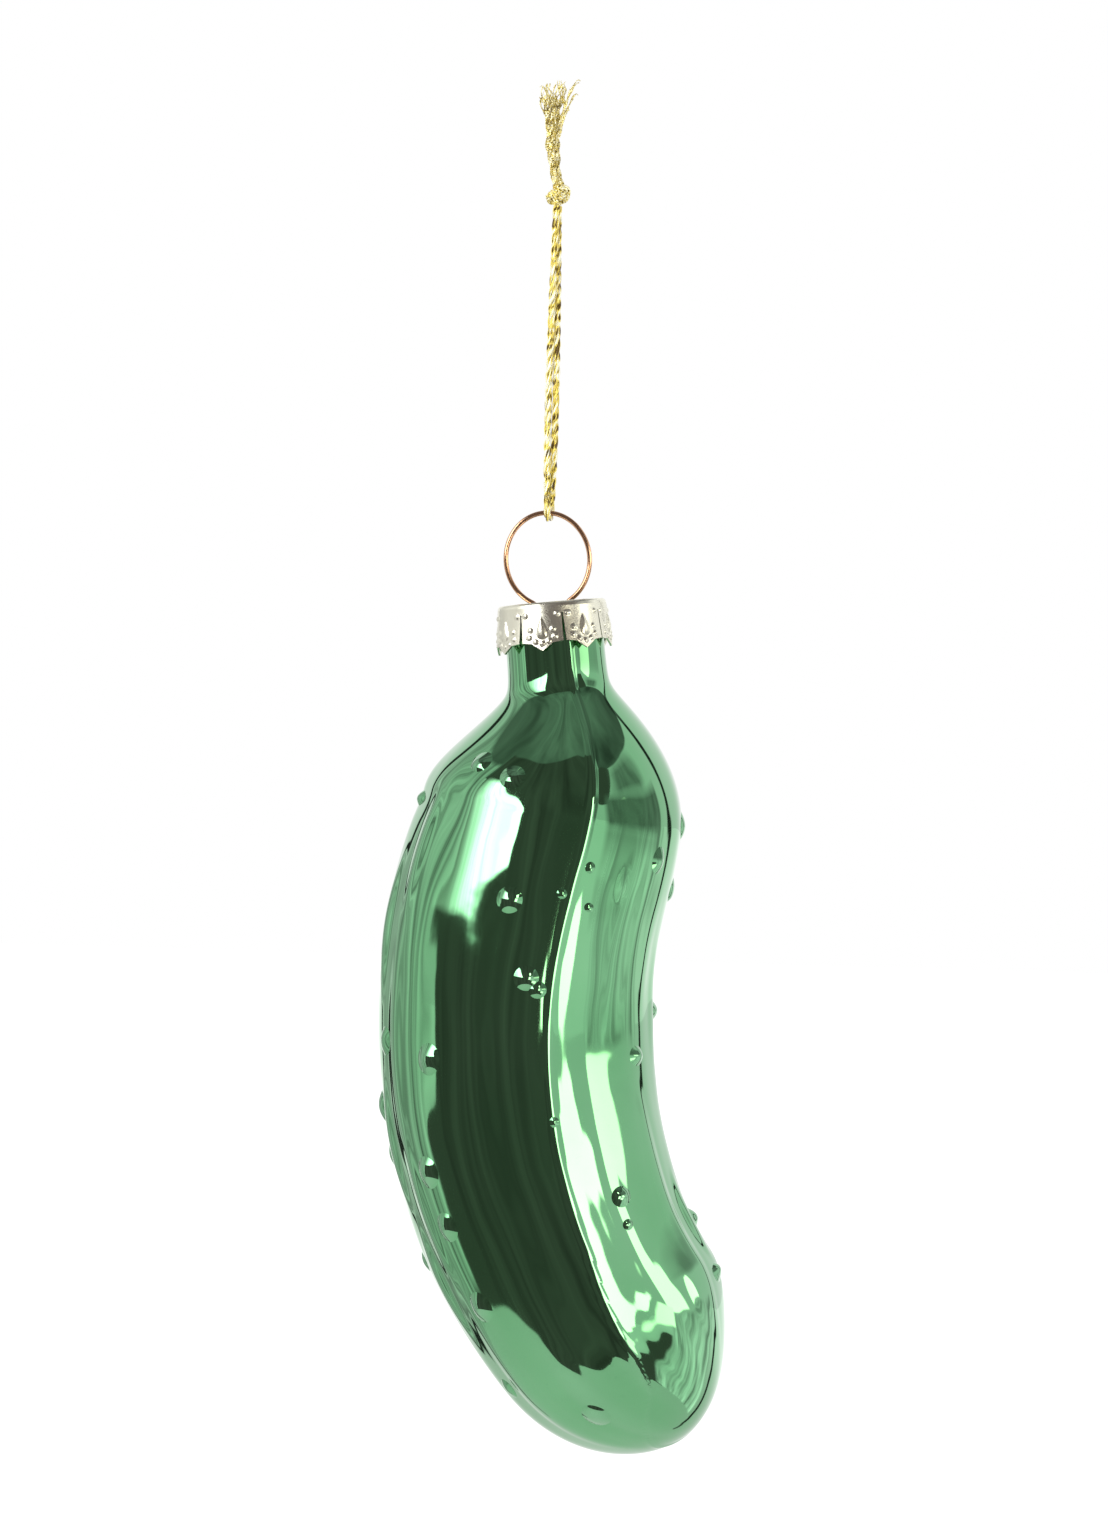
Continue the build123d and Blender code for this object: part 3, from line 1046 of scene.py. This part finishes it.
@dataclass
class PetalCap:
    """Stamped cap: a flat top with a slot for the wire, and a skirt slit into pointed, embossed petals."""

    neck: NeckFrame
    drop: float = 5.25
    top_radius: float = 6.6
    flare: float = 0.5
    height: float = 5.9
    sheet: float = 0.24
    corner: float = 0.45
    petals: int = 8
    first_slit: float = 10.0
    slit_top: float = 1.6
    slit_half_width: tuple = (0.08, 0.24)
    point: float = 0.95
    point_share: float = 0.5
    point_curve: float = 0.85
    shoulder_rise: float = 0.12
    slot_half_length: float = 3.0
    slot_half_width: float = 0.55
    petal_columns: int = 44
    slit_columns: int = 2
    top_rows: int = 12
    corner_rows: int = 5
    skirt_rows: int = 56
    bends: tuple = (0.12, -0.05, 0.0, 0.10, -0.08, 0.05, 0.28, 0.16)
    drop_middle: float = 3.15
    drop_size: tuple = (0.85, 1.35)
    drop_raise: float = 0.26
    drop_curve: float = 0.75
    drop_narrowing: tuple = (0.62, 0.5, 0.08)
    # Crest values of the skirt and the top, which set how much painted shade the cap's material puts there.
    skirt_crest: float = 0.35
    top_crest: float = 0.6
    dot_radius: float = 0.34
    dot_raise: float = 0.15
    dot_curve: float = 0.8
    dots: tuple = (
        (-0.32, 4.75),
        (0.0, 5.0),
        (0.32, 4.75),
        (-0.62, 4.2),
        (0.62, 4.2),
        (-0.55, 3.3),
        (0.55, 3.3),
        (-0.78, 1.5),
        (0.78, 1.5),
    )

    @property
    def columns(self) -> int:
        """Columns of faces round the whole cap."""
        return self.petals * (self.petal_columns + self.slit_columns)

    @property
    def rows(self) -> int:
        """Rows of faces from the slot to the hem."""
        return self.top_rows + self.corner_rows + self.skirt_rows

    def turn_of(self, column: Points, depth: Points) -> tuple[Points, Points, Points]:
        """Angle of each column, which spreads at a slit, with its petal and its share across the petal.

        Args:
            column: Numbers of the columns.
            depth: Depth below the cap's top.

        Returns:
            Angle from the front in radians, number of the petal, and share from -1 to 1 across it.
        """
        each = self.petal_columns + self.slit_columns
        petal = np.floor_divide(column, each) % self.petals
        within = np.mod(column, each)
        open_share = np.clip((depth - self.slit_top) / (self.height - self.slit_top), 0, 1)
        narrow, wide = self.slit_half_width
        half_slit = (narrow + (wide - narrow) * open_share) / (self.top_radius + self.flare)
        half_petal = np.pi / self.petals - half_slit
        across = (within - self.slit_columns / 2 - self.petal_columns / 2) / (self.petal_columns / 2)
        inside = np.clip(across, -1, 1)
        past = (across - inside) * (self.petal_columns / 2) / (self.slit_columns / 2)
        middle = math.radians(self.first_slit) + 2 * np.pi * (petal + 0.5) / self.petals
        return middle + inside * half_petal + past * half_slit, petal.astype(int), inside

    def hem_depth(self, across: Points) -> Points:
        """Depth of the hem across a petal: level shoulders and a pointed middle."""
        tongue = np.clip(1 - np.abs(across) / self.point_share, 0, 1)
        shoulder = self.shoulder_rise * np.cos(np.pi * across) ** 2
        return self.height - self.point * (1 - tongue**self.point_curve) - shoulder * (1 - tongue)

    def embossing(self, across: Points, depth: Points) -> Points:
        """Height of the pressed drop and dots on a petal.

        Args:
            across: Share across the petal, from -1 to 1.
            depth: Depth below the cap's top.

        Returns:
            Height above the plain skirt.
        """
        half_petal = np.pi * self.top_radius / self.petals
        x = across * half_petal
        half_width, half_height = self.drop_size
        y = (depth - self.drop_middle) / half_height
        middle, slope, least = self.drop_narrowing
        narrowing = np.clip(middle + slope * y, least, 1.0)
        inside = 1 - (x / (half_width * narrowing)) ** 2 - y**2
        raised = self.drop_raise * np.clip(inside, 0, 1) ** self.drop_curve
        for share, dot_depth in self.dots:
            gap = ((x - share * half_petal) ** 2 + (depth - dot_depth) ** 2) / self.dot_radius**2
            raised = np.maximum(raised, self.dot_raise * np.clip(1 - gap, 0, 1) ** self.dot_curve)
        return raised

    def surface(self, u: Points, v: Points) -> tuple[Points, Points]:
        """Outside of the cap.

        Args:
            u: Share round the cap.
            v: Share from the slot to the hem.

        Returns:
            The points, and how proud each stands as a share.
        """
        column = np.rint(u * self.columns)
        row = np.rint(v * self.rows)
        on_top = row <= self.top_rows
        on_skirt = row > self.top_rows + self.corner_rows
        top_share = np.clip(row / self.top_rows, 0, 1)
        corner_turn = np.clip((row - self.top_rows) / self.corner_rows, 0, 1) * np.pi / 2
        skirt_share = np.clip((row - self.top_rows - self.corner_rows) / self.skirt_rows, 0, 1)
        _, petal, across = self.turn_of(column, np.full_like(u, self.height))
        depth = self.corner + (self.hem_depth(across) - self.corner) * skirt_share
        depth = np.where(on_skirt, depth, self.corner * (1 - np.cos(corner_turn)))
        turn, _, _ = self.turn_of(column, depth)
        flat_radius = self.top_radius - self.corner
        slot_radius = self.slot_half_width * self.slot_half_length / np.sqrt(
            (self.slot_half_width * np.sin(turn)) ** 2 + (self.slot_half_length * np.cos(turn)) ** 2
        )
        top_radius = slot_radius + (flat_radius - slot_radius) * top_share
        side_radius = flat_radius + self.corner * np.sin(corner_turn)
        bend = np.array(self.bends)[petal] * skirt_share**2
        raised = np.where(on_skirt, self.embossing(across, depth), 0)
        side_radius = side_radius + self.flare * np.clip(depth / self.height, 0, 1) * on_skirt + bend + raised
        radius = np.where(on_top, top_radius, side_radius)
        points = self.neck.round_point(radius, turn, -self.drop - depth)
        return points, np.where(on_skirt, self.skirt_crest + raised / self.drop_raise, self.top_crest)

    def cut_slits(self, piece: Piece) -> None:
        """Delete the faces that stand in the slits."""
        mesh = piece.data
        for parts in (mesh.vertices, mesh.edges):
            parts.foreach_set("select", [False] * len(parts))
        each = self.petal_columns + self.slit_columns
        slit_row = self.top_rows + self.corner_rows + self.slit_rows_above()
        for polygon in mesh.polygons:
            row, column = divmod(polygon.index, self.columns)
            within = column % each
            in_slit = within < self.slit_columns / 2 or within >= each - self.slit_columns / 2
            polygon.select = in_slit and row >= slit_row
        in_edit_mode(piece, lambda: bpy.ops.mesh.delete(type="FACE"), "FACE")

    def slit_rows_above(self) -> int:
        """Rows of the skirt above the slits."""
        return round(self.skirt_rows * (self.slit_top - self.corner) / (self.height - self.corner))

    def build(self) -> Piece:
        """Build the cap as one wrapped sheet with a thickness."""
        cap, u, v = add_grid("stamped_cap", self.columns, self.rows)
        points, crest = self.surface(u, v)
        place_points(cap, points)
        set_crest(cap, crest)
        self.cut_slits(cap)
        close_seams(cap, gap=0.01, cap_ends=False)
        apply_modifier(cap, "SOLIDIFY", thickness=self.sheet * MM, offset=-1.0)
        shade_smooth(cap, angle=55)
        return cap

    def make(self, finish: StampedMetal) -> None:
        """Build and dress the cap."""
        cap = self.build()
        dress(cap, finish.make(), Body.CAP, Slot.CAP)
        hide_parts("cap")


# Glass


@dataclass(frozen=True)
class Swelling:
    """A wart or ridge, by its distance below the neck and its angle in degrees from the front towards +X."""

    along: float
    turn: float
    rise: float
    half_length: float
    half_width: float
    edge: float = 1.8

    def height(self, along: Points, turn: Points, radius: Points) -> Points:
        """Height above the plain glass.

        Args:
            along: Distances below the neck.
            turn: Angles from the front, in radians.
            radius: Radius of the glass at each point.

        Returns:
            The height at each point.
        """
        swing = np.mod(turn - math.radians(self.turn) + np.pi, 2 * np.pi) - np.pi
        far = ((along - self.along) / self.half_length) ** 2 + (swing * radius / self.half_width) ** 2
        return self.rise * np.clip(1 - far, 0, 1) ** self.edge


def scattered(number: int, start: float, reach: float, step: float) -> float:
    """Value of one of a row of things, scattered evenly over a reach from its start."""
    return start + reach * ((number * step) % 1)


@dataclass
class GlassPickle:
    """Blown glass pickle: a bent hollow shell with ridges, warts, a mould seam and an open neck."""

    neck: NeckFrame
    rim_drop: float = 5.65
    wall: float = 1.0
    neck_radius: float = 5.95
    neck_length: float = 10.35
    neck_blend: float = 0.55
    shoulder_length: float = 15.5
    shoulder_bend: float = 52.3
    shoulder_turn: float = 22.5
    body_bend: float = 66.6
    body_length: float = 96.4
    belly_radius: float = 16.7
    belly_at: float = 41.0
    belly_crown: float = 450.0
    tip_bend: float = 45.0
    tip_bend_run: float = 22.4
    tip_length: float = 16.7
    columns: int = 252
    rows: int = 284
    hollow_columns: int = 48
    hollow_rows: int = 70
    wart_spread: float = 1.2
    wart_edge: float = 1.35
    wart_seat: float = 0.05
    seat_curve: int = 8
    dome_columns: int = 28
    dome_rows: int = 12
    seam_along: tuple = (-12, 25, 70, 85, 89, 91.3, 94, 96.4)
    seam_turns: tuple = (17, 17, 10, 2, -6, -28, -60, -80)
    seam_rise: float = 0.2
    seam_half_width: float = 0.32
    seam_fade: tuple = (0.4, 3.0)
    warts: tuple = (
        (9.7, -41, 0.62, 1.35),
        (11.3, -21, 0.66, 1.4),
        (26.2, -8, 0.66, 1.4),
        (35.1, 4, 0.6, 1.35),
        (36.4, 9, 0.42, 1.0),
        (17.4, 59, 0.5, 1.2),
        (19.9, 22, 0.25, 0.6),
        (24.0, 13, 0.25, 0.6),
        (24.9, 26, 0.22, 0.6),
        (17.0, -83, 0.55, 1.3),
        (42.7, -71, 0.5, 1.3),
        (49.3, -90, 0.75, 1.6),
        (54.0, -90, 0.5, 1.3),
        (65.0, -90, 0.4, 1.1),
        (79.3, -71, 0.35, 1.0),
        (44.5, -39, 0.66, 1.5),
        (56.1, -49, 0.68, 1.5),
        (62.0, -48, 0.6, 1.4),
        (70.9, -49, 0.64, 1.5),
        (86.4, -36, 0.6, 1.4),
        (65.3, 34, 0.55, 1.3),
        (69.2, 32, 0.28, 0.7),
        (45.9, 61, 0.62, 1.4),
        (53.2, 13, 0.2, 0.6),
        (13.8, 88, 0.45, 1.2),
        (20.0, 90, 0.5, 1.3),
        (39.1, 90, 0.62, 1.5),
        (73.4, 88, 0.66, 1.5),
        (83.8, 77, 0.6, 1.4),
    )
    ridges: tuple = (
        (21.1, 40, 0.22, 2.6, 0.7),
        (72, 60, 0.36, 24, 1.9),
        (86, 82, 0.55, 17, 18),
        (66, 31, 0.13, 26, 1.9),
        (62, 14, 0.09, 30, 2.2),
        (30, 45, 0.12, 17, 2.1),
        (26, 67, 0.14, 14, 2.2),
        (31, -77, 0.45, 9, 1.7),
        (22, -60, 0.30, 9, 1.6),
        (44, -62, 0.14, 14, 2.0),
        (53, -76, 0.45, 8, 1.7),
        (68, -72, 0.42, 8, 1.6),
        (60, -60, 0.30, 9, 1.5),
        (40, -22, 0.06, 26, 2.6),
        (52, -6, 0.06, 28, 2.4),
        (80, -56, 0.32, 13, 2.0),
        (86, -28, 0.26, 10, 2.2),
        (86, 2, 0.22, 10, 2.4),
        (73, 78, 0.40, 9, 1.7),
        (84, 52, 0.12, 8, 1.8),
        (38, 82, 0.16, 12, 2.0),
    )
    lumps: tuple = (
        (0.08, 32, 3, 0.0),
        (0.05, 21, -4, 1.0),
        (0.008, 11, 5, 2.1),
        (0.004, 8.5, -7, 0.4),
        (0.002, 5.2, 9, 1.7),
    )
    wander: tuple = ((0.9, 17, 1.3), (0.5, 7.3, 0.0))
    furrows: tuple = ((0.055, 13, 1.0, 0.0), (0.013, 25, -1.6, 0.7))
    relief_from: float = 2.0
    relief_to: float = 0.8
    calm_radius: float = 2.0
    least_radius: float = 0.5
    plain_crest: float = 0.3
    back_warts: int = 8
    back_wart_first: float = 16.75
    back_wart_step: float = 9.5
    back_wart_turn: tuple = (180, 70, 137.5)
    back_wart: tuple = (0.62, 1.45)
    back_ridges: int = 16
    back_ridge_along: tuple = (28, 46, 0.618)
    back_ridge_turn: tuple = (100, 160)
    back_ridge_rise: tuple = (0.12, 0.12, 0.37)
    back_ridge_half_length: tuple = (10, 14, 0.73)
    back_ridge_half_width: float = 2.0

    def spine(self, along: Points) -> tuple[Points, Points, Points]:
        """Middle line of the glass.

        Args:
            along: Distances below the neck's end, negative in the neck.

        Returns:
            X and Z of the points, and the angle of the line from straight down towards +X.
        """
        lean = math.radians(self.neck.lean)
        start = self.neck.middle - self.neck.up * (self.rim_drop + self.neck_length)
        shoulder_run = self.shoulder_bend * math.radians(self.shoulder_turn)
        body_run = self.body_length - shoulder_run - self.tip_bend_run
        x = start[0] + np.minimum(along, 0) * math.sin(lean)
        z = start[2] - np.minimum(along, 0) * math.cos(lean)
        heading = np.full_like(along, lean)
        done = 0.0
        for length, bend in (
            (shoulder_run, -1 / self.shoulder_bend),
            (body_run, 1 / self.body_bend),
            (math.inf, 1 / self.tip_bend),
        ):
            run = np.clip(along - done, 0, length)
            ahead = heading + run * bend
            x = x + (np.cos(heading) - np.cos(ahead)) / bend
            z = z - (np.sin(ahead) - np.sin(heading)) / bend
            heading = ahead
            done += length
        return x, z, heading

    def radius(self, along: Points, inset: float) -> Points:
        """Radius of the plain glass, or of its hollow when inset by the wall."""
        swell = self.belly_radius - (along - self.belly_at) ** 2 / (2 * self.belly_crown)
        full = self.belly_radius - (self.shoulder_length - self.belly_at) ** 2 / (2 * self.belly_crown)
        ramp = (np.sqrt(along**2 + 4 * self.neck_blend**2) + along) / 2
        share = np.sin(np.pi / 2 * np.clip(ramp / self.shoulder_length, 0, 1))
        shoulder = self.neck_radius + (full - self.neck_radius) * share
        past = (along - self.body_length + self.tip_length) / (self.tip_length - inset)
        tip = np.sqrt(np.clip(1 - np.clip(past, 0, 1) ** 2, 0, 1))
        return (np.where(along < self.shoulder_length, shoulder, swell) - inset) * tip

    def wart_swellings(self) -> list[Swelling]:
        """All warts, those at the back spread by turn."""
        rows = list(self.warts)
        middle, reach, step = self.back_wart_turn
        for i in range(self.back_warts):
            turn = middle + reach * math.sin(math.radians(step * i))
            rows.append((self.back_wart_first + self.back_wart_step * i, turn, *self.back_wart))
        spread = self.wart_spread
        return [Swelling(along, turn, rise, spread * foot, spread * foot) for along, turn, rise, foot in rows]

    def ridge_swellings(self) -> list[Swelling]:
        """All ridges, those at the back spread by turn."""
        found = [Swelling(*ridge) for ridge in self.ridges]
        start, reach = self.back_ridge_turn
        for i in range(self.back_ridges):
            along = scattered(i, *self.back_ridge_along)
            turn = start + reach * (i + 0.5) / self.back_ridges
            rise = scattered(i, *self.back_ridge_rise)
            half_length = scattered(i, *self.back_ridge_half_length)
            found.append(Swelling(along, turn, rise, half_length, self.back_ridge_half_width))
        return found

    def relief(self, along: Points, turn: Points) -> Points:
        """Height of the ridges, furrows and seam above the plain glass."""
        radius = np.maximum(self.radius(along, 0), self.least_radius)
        fade = smooth_step(self.relief_from, self.shoulder_length, along)
        relief_end = self.body_length - self.relief_to * self.tip_length
        fade = fade * smooth_step(self.body_length, relief_end, along)
        wander = sum(swing * np.sin(along / length + phase) for swing, length, phase in self.wander)
        height = np.zeros_like(along)
        for rise, count, follow, phase in self.furrows:
            height = height + rise * np.cos(count * turn + follow * wander + phase)
        for rise, wavelength, turns, phase in self.lumps:
            height = height + rise * np.sin(2 * np.pi * along / wavelength + turns * turn + phase)
        height = height * fade
        for swelling in self.ridge_swellings():
            height = height + swelling.height(along, turn, radius)
        seam_turn = np.radians(np.interp(along, self.seam_along, self.seam_turns))
        swing = np.mod(turn - seam_turn + np.pi / 2, np.pi) - np.pi / 2
        seam = self.seam_rise * np.exp(-((swing * radius / self.seam_half_width) ** 2))
        return height + seam * smooth_step(*self.seam_fade, radius)

    def along_of(self, share: Points, inset: float) -> Points:
        """Distance below the neck at a share of the way over the surface from the rim to the tip."""
        straight = self.neck_length + self.body_length - self.tip_length
        round_end = self.tip_length * np.pi / 2
        run = share * (straight + round_end)
        turn = np.clip((run - straight) / round_end, 0, 1) * np.pi / 2
        return np.minimum(run, straight) - self.neck_length + (self.tip_length - inset) * np.sin(turn)

    def points(self, along: Points, turn: Points, radius: Points) -> Points:
        """Points at a radius about the spine."""
        x, z, heading = self.spine(along)
        side = radius * np.sin(turn)
        front = radius * np.cos(turn)
        return np.stack((x + side * np.cos(heading), -front, z + side * np.sin(heading)), axis=1)

    def wrapped(self, name: str, columns: int, rows: int, inset: float) -> Piece:
        """Wrap one wall of the glass.

        Args:
            name: Name of the wall.
            columns: Faces round it.
            rows: Faces down it.
            inset: Distance inside the outer face, where nothing stands proud.

        Returns:
            The wall, open at the rim and closed at the tip.
        """
        wall, u, v = add_grid(name, columns, rows)
        along = self.along_of(v, inset)
        turn = 2 * np.pi * np.mod(u, 1.0)
        radius = self.radius(along, inset)
        proud = self.relief(along, turn) if inset == 0 else np.zeros_like(along)
        proud = proud * np.clip(radius / self.calm_radius, 0, 1)
        place_points(wall, self.points(along, turn, radius + proud))
        # The crest attribute sets where the lacquer paints its highlight.
        set_crest(wall, self.plain_crest + proud)
        close_seams(wall, gap=0.01, cap_ends=False)
        return wall

    def dome(self, name: str, wart: Swelling) -> Piece:
        """Build one wart as a closed dome that follows the glass under it.

        Args:
            name: Name of the dome.
            wart: Place and size of the wart.

        Returns:
            The dome.
        """
        piece, u, v = add_grid(name, self.dome_columns, self.dome_rows)
        out = 1 - v
        swing = 2 * np.pi * np.mod(u, 1.0)
        along = wart.along + wart.half_length * out * np.cos(swing)
        radius = np.maximum(self.radius(along, 0), self.least_radius)
        turn = math.radians(wart.turn) + wart.half_width * out * np.sin(swing) / radius
        rise = wart.rise * np.clip(1 - out**2, 0, 1) ** self.wart_edge - self.wart_seat * out**self.seat_curve
        proud = self.relief(along, turn) + rise
        place_points(piece, self.points(along, turn, radius + proud))
        # The crest attribute sets where the lacquer paints its highlight on the wart.
        set_crest(piece, self.plain_crest + proud)
        close_seams(piece, gap=0.004, cap_ends=True)
        return piece

    def build(self) -> Piece:
        """Build the shell from its two walls, joined round the rim, with its warts."""
        outer = self.wrapped("glass_pickle", self.columns, self.rows, 0.0)
        inner = self.wrapped("glass_hollow", self.hollow_columns, self.hollow_rows, self.wall)
        in_edit_mode(inner, turn_inside_out)
        shell = join_pieces([outer, inner], "glass_pickle")
        in_edit_mode(shell, bridge_rims, "EDGE")
        domes = [self.dome(f"wart_{i}", wart) for i, wart in enumerate(self.wart_swellings())]
        shell = join_pieces([shell, *domes], "glass_pickle")
        shade_smooth(shell, angle=60)
        return shell

    def make(self, finish: SilveredLacquer) -> None:
        """Build and dress the glass."""
        shell = self.build()
        dress(shell, finish.make(), Body.GLASS, Slot.GLASS)
        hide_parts("glass_body")


# Studio


DARK_TINT: Colour = (0.13, 0.112, 0.11, 1)
WARM_TINT: Colour = (1.0, 0.95, 0.80, 1)


@dataclass(frozen=True)
class Card:
    """A card of the studio, by the directions of its corners as seen from the ornament.

    Each corner is an azimuth from the front towards +X and an elevation, in degrees, in the order bottom
    left, bottom right, top right and top left. Soft is the share of the card over which its edges fade, and
    fade gives that share for the left, right, foot and top instead. Streak is the share by which the
    brightness varies, and shade holds its factors at the foot and the top.
    """

    name: str
    corners: tuple
    brightness: float
    distance: float
    soft: float = 0.05
    tint: Colour = (1, 1, 1, 1)
    seen: Seen = Seen.IN_GLOSS
    streak: float = 0.0
    fade: tuple | None = None
    shade: tuple = (1.0, 1.0)


@dataclass
class Studio:
    """White studio with a dark end in front, soft cards round the ornament and a pale floor."""

    middle_z: float = -100.0
    floor_z: float = -620.0
    floor_size: float = 40000.0
    surround: float = 1.0
    ambient: float = 0.85
    floor_colour: Colour = (0.8, 0.8, 0.79, 1)
    floor_glow: tuple = (0.16, 0.55)
    floor_fade: tuple = (900.0, 3500.0)
    streak_scale: tuple = (9.0, 1.2, 1.0)
    streak_noise: tuple = (1.0, 3.0, 0.55)
    streak_span: tuple = (0.3, 0.7)
    card_faces: tuple = (32, 20)
    cards: tuple = (
        Card(
            "dark_end",
            ((-79, -36), (37, -46), (37, 66), (-75, 66)),
            1.0,
            780,
            0.008,
            DARK_TINT,
            streak=0.45,
        ),
        Card("dark_low_left", ((-96, -34), (-76, -36), (-74, -8), (-80, -14)), 1.0, 778, 0.02, DARK_TINT),
        Card("dark_low_right", ((36, -44), (70, -42), (66, -14), (36, -12)), 1.0, 778, 0.02, DARK_TINT),
        Card("dark_high_right", ((36, 15), (54, 17), (70, 46), (36, 66)), 1.0, 778, 0.02, DARK_TINT),
        Card(
            "high_softbox",
            ((-80, 10), (-24, 8), (-44, 50), (-74, 50)),
            5.5,
            700,
            seen=Seen.AS_LAMP,
            streak=0.3,
            fade=(0.6, 0.015, 0.02, 0.12),
        ),
        Card("strip_one", ((23, -8), (38, -7), (42, 13), (28, 15)), 5.2, 700, 0.05, WARM_TINT),
        Card("strip_two", ((62, 2), (90, 2), (74, 23), (54, 15)), 4.2, 690, 0.05, WARM_TINT),
        Card("strip_low", ((43, -24), (66, -24), (70, -10), (45, -10)), 3.8, 110, 0.1, WARM_TINT),
        Card(
            "side_right",
            ((60, -42), (122, -42), (122, 2), (60, 2)),
            1.1,
            740,
            0.05,
            streak=0.75,
            shade=(1.1, 0.8),
        ),
        Card("upper_right", ((56, 20), (104, 24), (104, 50), (66, 50)), 0.34, 740, 0.3, streak=0.3),
        Card(
            "shoulder_flag",
            ((46, 3), (108, 3), (108, 38), (46, 38)),
            0.3,
            100,
            streak=0.3,
            fade=(0.08, 0.03, 0.3, 0.2),
        ),
        Card("neck_strip", ((27, 24), (37, 24), (37, 37), (27, 37)), 6.0, 92, 0.05, WARM_TINT),
        Card("side_left", ((-140, -44), (-81, -34), (-77, 60), (-140, 50)), 0.72, 760, 0.03, streak=0.8),
        Card("edge_right", ((126, -70), (131, -70), (131, 70), (126, 70)), 0.03, 680, 0.2),
        Card("edge_left", ((-146, -70), (-140, -70), (-140, 70), (-146, 70)), 0.03, 680, 0.2),
        Card(
            "ceiling",
            ((-180, 46), (180, 46), (180, 89.5), (-180, 89.5)),
            0.22,
            800,
            0.02,
            streak=0.6,
            shade=(0.75, 1.5),
        ),
    )

    def make_world(self) -> None:
        """Make the white surround, which the glass also shows."""
        world = bpy.data.worlds.new("white_studio")
        world.use_nodes = True
        bpy.context.scene.world = world
        bench = NodeBench(world.node_tree)
        rays = bench.add("ShaderNodeLightPath").outputs
        shown = bench.math("MAXIMUM", rays["Is Camera Ray"], rays["Is Glossy Ray"])
        shown = bench.math("MAXIMUM", shown, rays["Is Transmission Ray"])
        plain = bench.add("ShaderNodeBackground", {"Color": (1, 1, 1, 1), "Strength": self.ambient})
        white = bench.add("ShaderNodeBackground", {"Color": (1, 1, 1, 1), "Strength": self.surround})
        mixed = bench.add("ShaderNodeMixShader", {0: shown, 1: plain.outputs[0], 2: white.outputs[0]})
        bench.add("ShaderNodeOutputWorld", {"Surface": mixed.outputs[0]})

    def make_floor(self) -> None:
        """Make the pale floor, which keeps the ornament's shadow."""
        deselect_all()
        bpy.ops.mesh.primitive_plane_add(size=self.floor_size * MM, location=(0, 0, self.floor_z * MM))
        floor = bpy.context.object
        floor.name = "floor"
        material, bench = new_material("pale_floor")
        matt = bench.add("ShaderNodeBsdfDiffuse", {"Color": self.floor_colour})
        far = bench.add("ShaderNodeVectorMath", {0: bench.place()}, operation="LENGTH").outputs["Value"]
        near, away = self.floor_fade
        strength = bench.span(far, near * MM, away * MM, *self.floor_glow)
        glow = bench.add("ShaderNodeEmission", {"Color": (1, 1, 1, 1), "Strength": strength})
        bench.end(bench.add("ShaderNodeAddShader", {0: matt.outputs[0], 1: glow.outputs[0]}))
        floor.data.materials.append(material)
        floor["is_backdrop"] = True

    def card_material(self, card: Card) -> bpy.types.Material:
        """Make a card's glow, which fades out at its edges."""
        material, bench = new_material(card.name)
        split = bench.add("ShaderNodeSeparateXYZ", {0: bench.place("UV")}).outputs
        left, right, foot, top = card.fade or (card.soft,) * 4
        mask = bench.span(split[0], 0.0, left)
        for side, low, high in ((0, 1.0, 1.0 - right), (1, 0.0, foot), (1, 1.0, 1.0 - top)):
            mask = bench.math("MULTIPLY", mask, bench.span(split[side], low, high))
        clear = bench.add("ShaderNodeBsdfTransparent")
        uneven = bench.noise(bench.stretched(self.streak_scale), *self.streak_noise)
        dim, bright = card.brightness * (1 - card.streak), card.brightness * (1 + card.streak)
        strength = bench.span(uneven, *self.streak_span, dim, bright)
        strength = bench.math("MULTIPLY", strength, bench.span(split[1], 0.0, 1.0, *card.shade))
        glow = bench.add("ShaderNodeEmission", {"Color": card.tint, "Strength": strength})
        bench.end(bench.add("ShaderNodeMixShader", {0: mask, 1: clear.outputs[0], 2: glow.outputs[0]}))
        return material

    def make_card(self, card: Card) -> None:
        """Make one card as a patch of a ball round the ornament.

        Args:
            card: The card's place and brightness.
        """
        piece, u, v = add_grid(card.name, *self.card_faces)
        corners = np.array(card.corners, float)
        low = corners[0] + (corners[1] - corners[0]) * u[:, None]
        high = corners[3] + (corners[2] - corners[3]) * u[:, None]
        azimuth, rise = np.radians(low + (high - low) * v[:, None]).T
        level = card.distance * np.cos(rise)
        height = self.middle_z + card.distance * np.sin(rise)
        place_points(piece, np.stack((level * np.sin(azimuth), -level * np.cos(azimuth), height), axis=1))
        piece.data.materials.append(self.card_material(card))
        piece.visible_camera = False
        piece.visible_shadow = False
        piece.visible_diffuse = card.seen is Seen.AS_LAMP
        piece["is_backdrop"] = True

    def make(self) -> None:
        """Set up the whole studio."""
        self.make_world()
        self.make_floor()
        for card in self.cards:
            self.make_card(card)
        log.info("studio has %d cards", len(self.cards))


def write_sizes() -> None:
    """Put the frame's box and the dressed model's box side by side."""
    boxes = {"cad": CAD_BOX, "visual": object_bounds()}
    {name: [list(corner) for corner in box] for name, box in boxes.items()}


def main() -> None:
    """Build the ornament's pieces and its studio in order."""
    logging.basicConfig(level=logging.INFO, format="%(name)s: %(message)s")
    bpy.context.scene.view_settings.view_transform = "Standard"
    PhotoCamera().make()
    GoldCord().make(MetallicYarn())
    neck = NeckFrame()
    WireHanger(neck).make(DrawnWire())
    PetalCap(neck).make(StampedMetal())
    GlassPickle(neck).make(SilveredLacquer())
    Studio().make()
    write_sizes()


if __name__ == "__main__":
    main()
